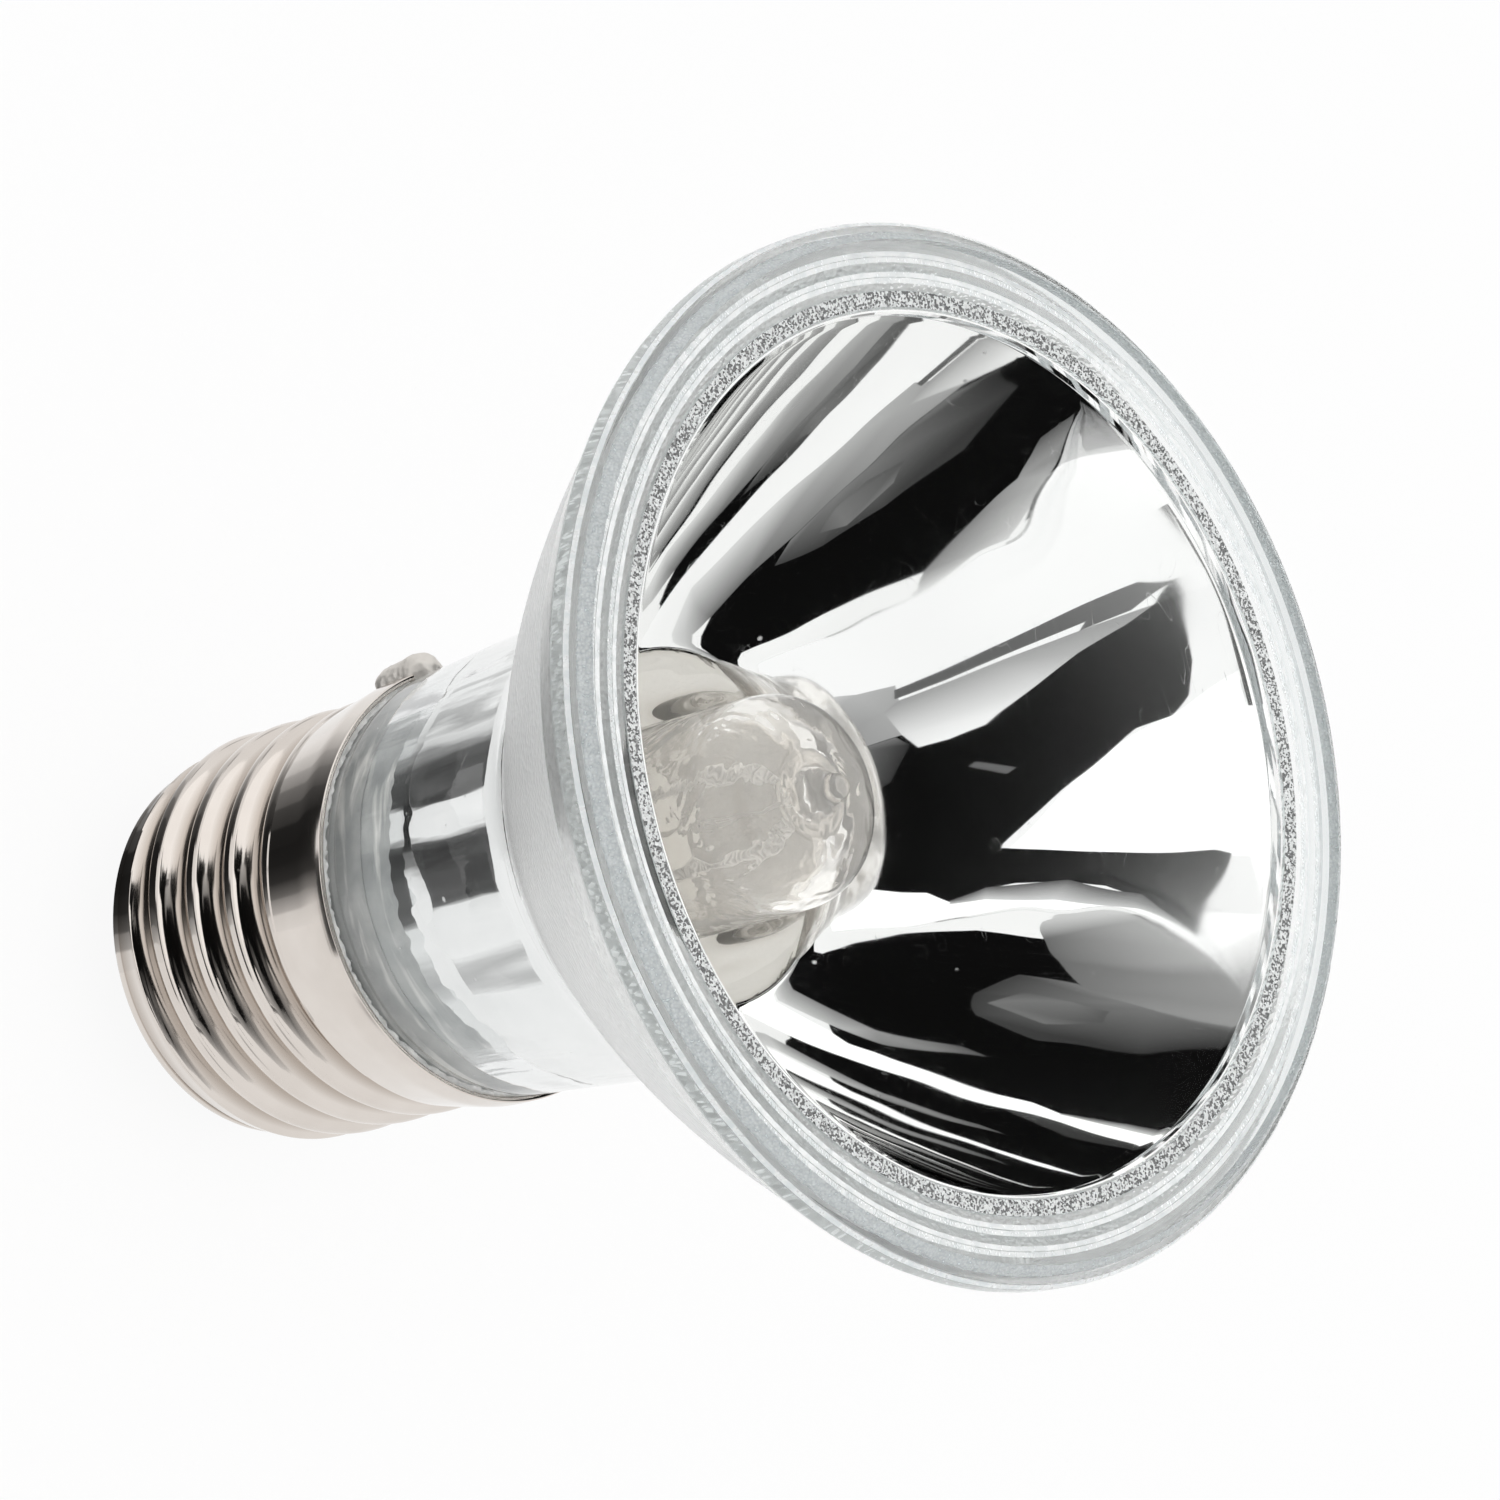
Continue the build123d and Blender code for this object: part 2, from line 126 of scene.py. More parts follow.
def rounded(outline, segments):
    """Outline whose corners with a setback are turned into curves, without the points inside a curve."""
    points = []
    for index, corner in enumerate(outline):
        here = Vector(corner[:2])
        if len(corner) < 3:
            near = [outline[(index + step) % len(outline)] for step in (-2, -1, 1, 2)]
            if not any(len(other) > 2 and (here - Vector(other[:2])).length < other[2] for other in near):
                points.append(here)
            continue
        before = Vector(outline[index - 1][:2])
        after = Vector(outline[(index + 1) % len(outline)][:2])
        start = here + (before - here).normalized() * corner[2]
        end = here + (after - here).normalized() * corner[2]
        for step in range(segments + 1):
            share = step / segments
            first = start.lerp(here, share)
            second = here.lerp(end, share)
            points.append(first.lerp(second, share))
    return points


def stretch(start, end, count, bulge=0.0):
    """Points between two outline points, without the ends, on a line or on a shallow arc that bulges."""
    start, end = Vector(start), Vector(end)
    along = (end - start).normalized()
    across = Vector((along.y, -along.x)) * bulge * 4
    shares = [step / (count + 1) for step in range(1, count + 1)]
    return [tuple(start.lerp(end, share) + across * share * (1 - share)) for share in shares]


def edit_all():
    """Opens the active piece in edit mode with everything selected."""
    bpy.ops.object.mode_set(mode="EDIT")
    bpy.ops.mesh.select_all(action="SELECT")


def end_edit():
    """Leaves edit mode."""
    bpy.ops.object.mode_set(mode="OBJECT")


def named(name):
    """Active piece, now with this name."""
    piece = bpy.context.object
    piece.name = piece.data.name = name
    return piece


def draw_loop(name, points, weld):
    """New piece that is a closed loop of edges, selected in edit mode. Points nearer than weld become one."""
    bpy.ops.mesh.primitive_plane_add(size=MM)
    piece = named(name)
    edit_all()
    bpy.ops.mesh.merge(type="CENTER")
    bpy.ops.transform.translate(value=points[0])
    for here, after in zip(points, points[1:] + points[:1]):
        bpy.ops.mesh.extrude_region_move(TRANSFORM_OT_translate={"value": after - here})
    bpy.ops.mesh.select_all(action="SELECT")
    bpy.ops.mesh.remove_doubles(threshold=weld)
    return piece


def turned_piece(name, outline, steps, segments=5):
    """Piece spun about the bulb's axis from a closed outline of radius and height, with rounded corners."""
    weld = 0.001 * MM
    piece = draw_loop(name, [Vector((point.x, 0, point.y)) for point in rounded(outline, segments)], weld)
    bpy.ops.mesh.spin(steps=steps, angle=2 * pi, center=(0, 0, 0), axis=(0, 0, 1))
    bpy.ops.mesh.select_all(action="SELECT")
    bpy.ops.mesh.remove_doubles(threshold=weld)
    bpy.ops.mesh.normals_make_consistent()
    end_edit()
    bpy.ops.object.shade_smooth_by_angle(angle=radians(35))
    return piece


def joined(name, pieces):
    """Several pieces made one, with the first one's place and materials."""
    bpy.ops.object.select_all(action="DESELECT")
    for piece in pieces:
        piece.select_set(True)
    bpy.context.view_layer.objects.active = pieces[0]
    bpy.ops.object.join()
    return named(name)


def apply_modifier(piece, kind, **settings):
    """Modifier with its settings, applied at once."""
    modifier = piece.modifiers.new(kind.lower(), kind)
    for name, value in settings.items():
        setattr(modifier, name, value)
    bpy.ops.object.modifier_apply(modifier=modifier.name)


def move_points(piece, mover):
    """Moves every point of a piece to the place that the mover gives for it."""
    for vertex in piece.data.vertices:
        vertex.co = mover(vertex.co)
    piece.data.update()


def give_values(piece, name, values):
    """Gives every point of a piece its own value under a name that finishes read."""
    piece.data.attributes.new(name, "FLOAT", "POINT").data.foreach_set("value", values)


def polar(point):
    """Angle round the bulb's axis and distance from it."""
    return atan2(point.y, point.x), hypot(point.x, point.y)


def at_radius(point, radius):
    """Point moved along its spoke to a radius."""
    spoke = hypot(point.x, point.y)
    return Vector((point.x / spoke * radius, point.y / spoke * radius, point.z))


def ripple(angle, height, around, along, seed):
    """Smooth random value on a surface round the axis, from about -1 to 1."""
    return noise.noise(Vector((cos(angle) * around, sin(angle) * around, height * along + seed)))


def two_ripples(angle, height, coarse, share, fine):
    """Coarse ripple with a share of a fine one, each given as waves round and along the axis and a seed."""
    return ripple(angle, height, *coarse) + share * ripple(angle, height, *fine)


def finish_piece(piece, slot, replaced, *finishes):
    """Gives a piece its body and its finishes, and hides the solid that it stands for; the slot is not used.
    """
    piece.data.materials.clear()
    for finish in finishes:
        piece.data.materials.append(finish)
    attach(piece, "root")
    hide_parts(replaced)


# Effects that more than one finish uses
def add_node(tree, kind, inputs=None, **settings):
    """Node with its settings, and the links or plain values of its inputs."""
    node = tree.nodes.new("ShaderNode" + kind)
    for name, value in settings.items():
        setattr(node, name, value)
    for name, value in (inputs or {}).items():
        if isinstance(value, bpy.types.NodeSocket):
            tree.links.new(value, node.inputs[name])
        else:
            node.inputs[name].default_value = value
    return node


def maths(tree, operation, first, second):
    """Sum, product or other operation on two links or values."""
    return add_node(tree, "Math", {0: first, 1: second}, operation=operation).outputs[0]


def ranged(tree, value, low, high, to_low=0.0, to_high=1.0):
    """Value mapped from one range to another and kept inside it."""
    span = {"Value": value, "From Min": low, "From Max": high, "To Min": to_low, "To Max": to_high}
    return add_node(tree, "MapRange", span).outputs["Result"]


def object_place(tree, scale=(1, 1, 1), turn=(0, 0, 0)):
    """Object coordinates, scaled and turned."""
    place = add_node(tree, "TexCoord").outputs["Object"]
    inputs = {"Vector": place, "Scale": scale, "Rotation": turn}
    return add_node(tree, "Mapping", inputs).outputs["Vector"]


def noise_pattern(tree, scale, detail, distortion=0.0, spread=(1, 1, 1), turn=(0, 0, 0), **more):
    """Value of a noise in object coordinates."""
    inputs = {"Vector": object_place(tree, spread, turn), "Distortion": distortion, **more}
    inputs |= {"Scale": scale, "Detail": detail}
    return add_node(tree, "TexNoise", inputs).outputs["Fac"]


def cell_pattern(tree, scale):
    """Distance from the middle of a cell in object coordinates, and a chance value for each cell."""
    cells = add_node(tree, "TexVoronoi", {"Vector": object_place(tree), "Scale": scale})
    chance = add_node(tree, "SeparateColor", {"Color": cells.outputs["Color"]})
    return cells.outputs["Distance"], chance.outputs["Red"]


def grains(tree, scale):
    """Distance from the middle of a cell alone."""
    return cell_pattern(tree, scale)[0]


def axis_distance(tree):
    """Distance of a point from the bulb's axis."""
    spoke = object_place(tree, (1, 1, 0))
    return add_node(tree, "VectorMath", {0: spoke}, operation="LENGTH").outputs["Value"]


def axis_height(tree):
    """Height of a point along the bulb's axis."""
    return add_node(tree, "SeparateXYZ", {0: object_place(tree)}).outputs["Z"]


def effect_group(name, values):
    """Node group with value inputs and one mask output, which is still empty."""
    tree = bpy.data.node_groups.new(name, "ShaderNodeTree")
    for label, value in values.items():
        socket = tree.interface.new_socket(label, in_out="INPUT", socket_type="NodeSocketFloat")
        socket.default_value = value
    tree.interface.new_socket("Mask", in_out="OUTPUT", socket_type="NodeSocketFloat")
    return tree, tree.nodes.new("NodeGroupInput").outputs


def close_group(tree, mask):
    """Group whose output is the mask."""
    tree.links.new(mask, tree.nodes.new("NodeGroupOutput").inputs["Mask"])
    return tree


def make_dust_specks():
    """Small specks scattered over a surface."""
    tree, entry = effect_group("dust_specks", {"Scale": 900.0, "Amount": 0.2})
    distance, chance = cell_pattern(tree, entry["Scale"])
    speck = ranged(tree, distance, 0.06, 0.16, 1.0, 0.0)
    chosen = maths(tree, "LESS_THAN", chance, entry["Amount"])
    return close_group(tree, maths(tree, "MULTIPLY", speck, chosen))


def make_hair_scratches():
    """Hair-thin scratches in two directions, along one level of a stretched noise."""
    tree, entry = effect_group("hair_scratches", {"Scale": 60.0, "Width": 0.02})
    level = 0.62
    layers = []
    for turn, tilt in ((0.5, 0.3), (2.1, -0.4)):
        turns = (tilt, tilt * 0.5, turn)
        bands = noise_pattern(tree, entry["Scale"], 1.0, 0.4, (1.0, 14.0, 14.0), turns)
        away = maths(tree, "ABSOLUTE", maths(tree, "SUBTRACT", bands, level), 0.0)
        layers.append(maths(tree, "LESS_THAN", away, entry["Width"]))
    return close_group(tree, maths(tree, "MAXIMUM", *layers))


def make_cloudy_stain():
    """Soft cloudy variation over a surface."""
    tree, entry = effect_group("cloudy_stain", {"Scale": 200.0, "Low": 0.35, "High": 0.65})
    cloud = noise_pattern(tree, entry["Scale"], 3.0, Roughness=0.6)
    return close_group(tree, ranged(tree, cloud, entry["Low"], entry["High"]))


dust_specks = make_dust_specks()
hair_scratches = make_hair_scratches()
cloudy_stain = make_cloudy_stain()


def effect(tree, group, **values):
    """Mask of a shared effect, with this finish's own values."""
    return add_node(tree, "Group", values, node_tree=group).outputs["Mask"]


def clouds(tree, scale, low, high):
    """Mask of cloudy stains."""
    return effect(tree, cloudy_stain, Scale=scale, Low=low, High=high)


def specks(tree, scale, amount):
    """Mask of dust specks."""
    return effect(tree, dust_specks, Scale=scale, Amount=amount)


def new_finish(name, **sockets):
    """Material with a principled shader and its plain values."""
    material = bpy.data.materials.new(name)
    material.use_nodes = True
    shader = material.node_tree.nodes["Principled BSDF"]
    for label, value in sockets.items():
        shader.inputs[label.replace("_", " ")].default_value = value
    return material, material.node_tree, shader


def tint(shader, mask, first, second):
    """Base colour between two colours by a mask."""
    tree = shader.id_data
    colours = {"Factor": mask, MIX_FIRST: (*first, 1), MIX_SECOND: (*second, 1)}
    mix = add_node(tree, "Mix", colours, data_type="RGBA")
    tree.links.new(mix.outputs[MIX_RESULT], shader.inputs["Base Color"])


def gloss(shader, mask, low, high):
    """Roughness between two values by a mask."""
    tree = shader.id_data
    tree.links.new(ranged(tree, mask, 0.0, 1.0, low, high), shader.inputs["Roughness"])


def relief(shader, height, strength, depth):
    """Bump from a height, with its depth in metres."""
    tree = shader.id_data
    bump = add_node(tree, "Bump", {"Height": height, "Strength": strength, "Distance": depth})
    tree.links.new(bump.outputs["Normal"], shader.inputs["Normal"])


# Finishes
def patterned(name, sockets, colour, rough, bump):
    """Finish with a pattern and two limits each for colour, roughness, and the relief's strength and depth.

    A pattern is its maker and the maker's values, or None for the same one again.
    """
    material, tree, shader = new_finish(name, **sockets)
    for add, (pattern, *limits) in ((tint, colour), (gloss, rough), (relief, bump)):
        if pattern:
            mask = pattern[0](tree, *pattern[1:])
        add(shader, mask, *limits)
    return material


def glass(clearness, bending=GLASS_IOR):
    """Plain values of a glass."""
    return {"Transmission_Weight": clearness, "IOR": bending}


def nickel_plate():
    """Drawn nickel plate: lines round the axis, painted shade in the thread roots, faint warm stains and
    dust.
    """
    material, tree, shader = new_finish("nickel_plate", Metallic=1.0)
    stain = maths(tree, "MULTIPLY", clouds(tree, 160.0, 0.3, 0.75), 0.25)
    # Painted shade: the depth in the thread roots darkens the colour towards brown, mixed with the real warm
    # stains
    root = add_node(tree, "Attribute", attribute_name="painted_root_shade")
    tone = maths(tree, "MAXIMUM", root.outputs["Fac"], stain)
    tint(shader, tone, (0.73, 0.68, 0.635), (0.42, 0.36, 0.31))
    rough = maths(tree, "MAXIMUM", maths(tree, "MULTIPLY", tone, 0.6), specks(tree, 1400.0, 0.12))
    gloss(shader, rough, 0.07, 0.26)
    relief(shader, noise_pattern(tree, 1.0, 3.0, 0.0, (60, 60, 5200)), 0.08, 0.02 * MM)
    return material


def mirror_coat():
    """Bright mirror coating with slow waves, faint haze, dust and hair scratches."""
    material, tree, shader = new_finish("mirror_coat", Metallic=1.0)
    waves = noise_pattern(tree, 95.0, 1.0)
    haze = ranged(tree, waves, 0.4, 0.8)
    tint(shader, haze, (0.97, 0.97, 0.965), (0.94, 0.94, 0.935))
    hairs = effect(tree, hair_scratches, Scale=45.0, Width=0.0012)
    marks = maths(tree, "MAXIMUM", specks(tree, 700.0, 0.05), maths(tree, "MULTIPLY", hairs, 0.35))
    rough = maths(tree, "MAXIMUM", maths(tree, "MULTIPLY", haze, 0.1), marks)
    gloss(shader, rough, 0.015, 0.3)
    relief(shader, waves, 0.4, 0.2 * MM)
    return material


def rim_glass():
    """Greenish glass of the flange's ledge and wall, with faint pressing lines round it."""
    material, tree, shader = new_finish("rim_glass", **glass(1.0))
    inputs = {"W": axis_distance(tree), "Scale": 1500.0, "Detail": 2.0}
    lines = add_node(tree, "TexNoise", inputs, noise_dimensions="1D").outputs["Fac"]
    tint(shader, ranged(tree, lines, 0.35, 0.65), (0.74, 0.80, 0.805), (1.0, 1.0, 1.0))
    gloss(shader, specks(tree, 900.0, 0.08), 0.02, 0.3)
    relief(shader, lines, 0.1, 0.05 * MM)
    return material


def lens_glass():
    """Polished front glass with a little dust, which hardly bends light, to keep the mirror's blacks deep."""
    material, tree, shader = new_finish("polished_lens", **glass(1.0, 1.03), Specular_Tint=FAINT_SHINE)
    dust = specks(tree, 620.0, 0.03)
    tint(shader, dust, (0.99, 0.995, 0.993), (0.93, 0.94, 0.94))
    gloss(shader, dust, 0.0, 0.25)
    return material


def stippled_glass():
    """Pressed stipple of the ring near the lens's edge, with painted dark glints: many of its grains are near
    black.
    """
    material, tree, shader = new_finish("stippled_glass", **glass(0.35))
    dots, chance = cell_pattern(tree, 7600.0)
    # Painted glints: grains with a high chance turn near black, standing in for the stipple's dark glitter
    grain = ranged(tree, chance, 0.45, 0.6)
    tint(shader, grain, (0.97, 0.98, 0.98), (0.03, 0.03, 0.03))
    gloss(shader, grain, 0.05, 0.15)
    relief(shader, dots, 0.8, 0.15 * MM)
    return material


def capsule_putty():
    """Cement round the capsule: cream on top; below its top, where it lies against the glass, a cloudy grey
    of painted shade with paler wisps.
    """
    material, tree, shader = new_finish("capsule_putty")
    cloud = clouds(tree, 300.0, 0.35, 0.65)
    above = ranged(tree, axis_height(tree), cement_high.z - 0.25 * MM, cement_high.z - 0.05 * MM)
    drift = noise_pattern(tree, 1.0, 3.0, 0.6, (170, 170, 900))
    wisps = ranged(tree, drift, 0.56, 0.72, 0.0, 0.7)
    # Painted shade: below the cream top the cement turns a cloudy grey, with paler wisps
    grey = maths(tree, "SUBTRACT", ranged(tree, cloud, 0.0, 1.0, 1.0, 0.7), wisps)
    shade = maths(tree, "MULTIPLY", grey, maths(tree, "SUBTRACT", 1.0, above))
    tint(shader, shade, (0.94, 0.92, 0.885), (0.36, 0.37, 0.37))
    gloss(shader, cloud, *CEMENT_ROUGH)
    relief(shader, noise_pattern(tree, *CEMENT_PITS), *CEMENT_RELIEF)
    return material


def plain_metal(name, first, second, low, high, grain, depth):
    """Metal with a fine grain, cloudy tone and specks."""
    material, tree, shader = new_finish(name, Metallic=1.0)
    stain = clouds(tree, grain * 0.3, 0.3, 0.7)
    tint(shader, stain, first, second)
    gloss(shader, maths(tree, "MAXIMUM", stain, specks(tree, grain, 0.1)), low, high)
    relief(shader, noise_pattern(tree, grain, 4.0), 0.4, depth)
    return material


nickel = nickel_plate()
mirror = mirror_coat()
# Clear pressed glass with lengthwise flow lines
clear_glass = patterned(
    "pressed_glass", glass(1.0),
    ((clouds, 120.0, 0.3, 0.8), (0.90, 0.91, 0.91), (0.78, 0.80, 0.80)),
    ((specks, 900.0, 0.1), 0.015, 0.3),
    ((noise_pattern, 1.0, 3.0, 0.0, (420, 420, 50)), 0.2, 0.3 * MM),
)
# Etched outside of the bowl: a fine even stipple, clearer and smoother near the flange
satin = ((clouds, 140.0, 0.3, 0.8), (0.96, 0.965, 0.965), (0.91, 0.92, 0.92))
etched_glass = patterned(
    "satin_glass", glass(0.62), satin, (None, 0.34, 0.42), ((grains, 2400.0), 0.5, 0.25 * MM)
)
flare_edge_glass = patterned(
    "satin_edge_glass", glass(1.0), satin, (None, 0.1, 0.18), ((grains, 2400.0), 0.5, 0.01 * MM)
)
ledge_glass = rim_glass()
# Bright rubbed edge of the flange and ridges of the lens
worn = (
    ((clouds, 1500.0, 0.35, 0.6), (0.96, 0.97, 0.97), (0.78, 0.82, 0.83)),
    (None, 0.2, 0.45),
    ((noise_pattern, 2200.0, 2.0), 0.5, 0.1 * MM),
)
edge_glass = patterned("worn_glass_edge", glass(0.2), *worn)
ridge_glass = patterned("pressed_ridge_glass", glass(0.55), *worn)
front_glass = lens_glass()
stipple_glass = stippled_glass()
# Quartz of the capsule, faintly cream, with swirls and a few bubbles
quartz = patterned(
    "quartz_glass", {**glass(0.83, 1.28), "Coat_Weight": 0.3},
    ((clouds, 260.0, 0.3, 0.7), (1.0, 0.982, 0.955), (0.99, 0.967, 0.935)),
    ((specks, 900.0, 0.08), 0.0, 0.25),
    ((noise_pattern, 280.0, 1.0, 2.2), 0.5, 0.4 * MM),
)
# Clear sealant that dried rough, with bright grains
sealant = patterned(
    "rough_sealant", glass(0.55, 1.42),
    ((grains, 5200.0), (0.95, 0.96, 0.965), (0.6, 0.65, 0.66)), (None, 0.05, 0.3), (None, 0.5, 0.12 * MM),
)
inner_putty = capsule_putty()
# White basing cement, pitted and stained
basing_cement = patterned(
    "white_basing_cement", {},
    ((clouds, 700.0, 0.35, 0.65), (0.88, 0.87, 0.86), (0.62, 0.62, 0.61)),
    (None, *CEMENT_ROUGH),
    ((noise_pattern, *CEMENT_PITS), *CEMENT_RELIEF),
)
# Black insulating glass with flow marks and a glossy skin
insulator_glass = patterned(
    "black_insulator_glass", {"Coat_Weight": 0.4},
    ((clouds, 240.0, 0.3, 0.75), (0.012, 0.012, 0.014), (0.035, 0.034, 0.036)),
    (None, 0.08, 0.28),
    ((noise_pattern, 300.0, 3.0), 0.25, 0.3 * MM),
)
brass = plain_metal("satin_brass", (0.80, 0.64, 0.34), (0.66, 0.5, 0.24), 0.22, 0.42, 900.0, 0.05 * MM)
solder = plain_metal("grey_solder", (0.82, 0.79, 0.75), (0.66, 0.63, 0.59), 0.42, 0.6, 700.0, 0.06 * MM)
molybdenum = plain_metal("molybdenum_wire", (0.82, 0.81, 0.8), (0.7, 0.69, 0.68), 0.3, 0.5, 1500.0, 0.03 * MM)
tungsten = plain_metal("tungsten_coil", (0.76, 0.75, 0.74), (0.62, 0.61, 0.6), 0.35, 0.55, 1800.0, 0.03 * MM)
lead_wire = plain_metal("plated_lead", (0.76, 0.75, 0.72), (0.6, 0.58, 0.54), 0.18, 0.36, 1500.0, 0.03 * MM)


# Screw shell with its rolled thread
def thread_radius(angle, height):
    """Radius of the endless round thread: arcs at crest and root that meet half way."""
    turn = (height - THREAD_CREST_HEIGHT) / THREAD_PITCH - angle / (2 * pi)
    away = abs(turn - round(turn)) * THREAD_PITCH
    quarter = THREAD_PITCH / 4
    depth = 2 * (THREAD_ARC - sqrt(THREAD_ARC**2 - quarter**2))
    if away <= quarter:
        return THREAD_CREST_RADIUS - THREAD_ARC + sqrt(THREAD_ARC**2 - away**2)
    inside = 2 * quarter - away
    return THREAD_CREST_RADIUS - depth + THREAD_ARC - sqrt(THREAD_ARC**2 - inside**2)


def soft_least(first, second, width):
    """Smaller of two lengths, rounded where they cross."""
    share = max(width - abs(first - second), 0.0) / width
    return min(first, second) - share * share * width / 4


def shell_radius(angle, height):
    """Outside radius of the shell between its lower corner and the foot of its skirt."""
    rise = (height - shell_corner_top) / THREAD_RUN_IN
    blank = between(SHELL_CORE_RADIUS, SKIRT_FOOT_RADIUS + 0.05 * MM, min(max(rise, 0.0), 1.2))
    radius = soft_least(thread_radius(angle, height), blank, 0.2 * MM)
    step = (height - skirt_step_foot) / (skirt_foot - skirt_step_foot)
    skirt = between(SHELL_CORE_RADIUS, SKIRT_FOOT_RADIUS, min(step, 1.0))
    return -soft_least(-radius, -skirt, 0.25 * MM)


def make_screw_shell():
    """Thin drawn shell: a lip, a rolled thread and a flared skirt with a collar."""
    core, corner_top = SHELL_CORE_RADIUS, shell_corner_top
    rings = ceil((skirt_foot - corner_top) / RING_SPACING)
    inside = core - SHELL_WALL
    skirt_inside = skirt_radius - SHELL_WALL
    lip_inside = shell_bottom + SHELL_WALL
    outline = [
        (SHELL_LIP_RADIUS, lip_inside),
        (SHELL_LIP_RADIUS, shell_bottom, EDGE_ROUND),
        (core, shell_bottom, 0.9 * MM),
        (core, corner_top),
        *stretch((core, corner_top), (core, skirt_foot), rings),
        (SKIRT_FOOT_RADIUS, skirt_foot),
        *stretch((SKIRT_FOOT_RADIUS, skirt_foot), (skirt_radius, skirt_rim_foot), 4),
        (skirt_radius, skirt_rim_foot, 0.5 * MM),
        (skirt_radius, shell_mouth, EDGE_ROUND),
        (skirt_inside, shell_mouth, EDGE_ROUND),
        (skirt_inside, skirt_rim_foot),
        (SKIRT_FOOT_RADIUS - SHELL_WALL, skirt_foot),
        (inside, skirt_step_foot),
        (inside, lip_inside),
    ]
    shell = turned_piece("screw_shell_rolled", outline, 240)

    def roll(point):
        """Presses the thread into the straight wall."""
        angle, radius = polar(point)
        if abs(radius - core) < 0.01 * MM and corner_top - MM * 0.01 < point.z < skirt_foot:
            radius = shell_radius(angle, point.z)
        sway = ripple(angle, point.z / MM, 1.6, 0.16, 3.0) * 0.02 * MM
        if point.z > corner_top:
            radius = min(radius + sway, skirt_radius)
        return at_radius(point, radius)

    move_points(shell, roll)
    bpy.ops.object.shade_smooth_by_angle(angle=radians(50))

    def root_depth(point):
        """How deep a point lies in the thread, from 0 to 1."""
        depth = (THREAD_CREST_RADIUS - 0.45 * MM - polar(point)[1]) / (0.65 * MM)
        return min(max(depth, 0.0), 1.0) if corner_top < point.z < skirt_foot else 0.0

    # The depth in the thread is kept for the painted shade in the thread roots
    give_values(shell, "painted_root_shade", [root_depth(vertex.co) for vertex in shell.data.vertices])
    finish_piece(shell, "nickel", "screw_shell", nickel)


# Pressed-glass reflector
def bowl_radius(height, rise):
    """Radius of the mirror's parabola at a height, raised along the axis."""
    return sqrt((height - bowl_vertex - rise) / bowl_steepness)


def bore_radius(height):
    """Radius of the neck's bore, which narrows towards the spigot."""
    share = (height - spigot_bottom) / (opening_height - spigot_bottom)
    return between(SPIGOT_BORE, OPENING_RADIUS, share)


def bore_wave(angle, height):
    """Unevenness of the neck's bore, which the coating follows."""
    fade = smooth_step(cement_high.z, cement_high.z + 2.5 * MM, height)
    fade *= 1 - smooth_step(opening_height - 3.5 * MM, opening_height - 0.8 * MM, height)
    wave = two_ripples(angle, height / MM, (4.5, 0.05, 6.0), 0.12, (9.0, 0.2, 8.0))
    return wave * NECK_WAVE * fade


def parabola(inner, outer, rise, count):
    """Points on the mirror's parabola from one radius to another, raised along the axis."""
    radii = [between(inner, outer, step / count) for step in range(count + 1)]
    return [(radius, bowl_vertex + rise + bowl_steepness * radius**2) for radius in radii]


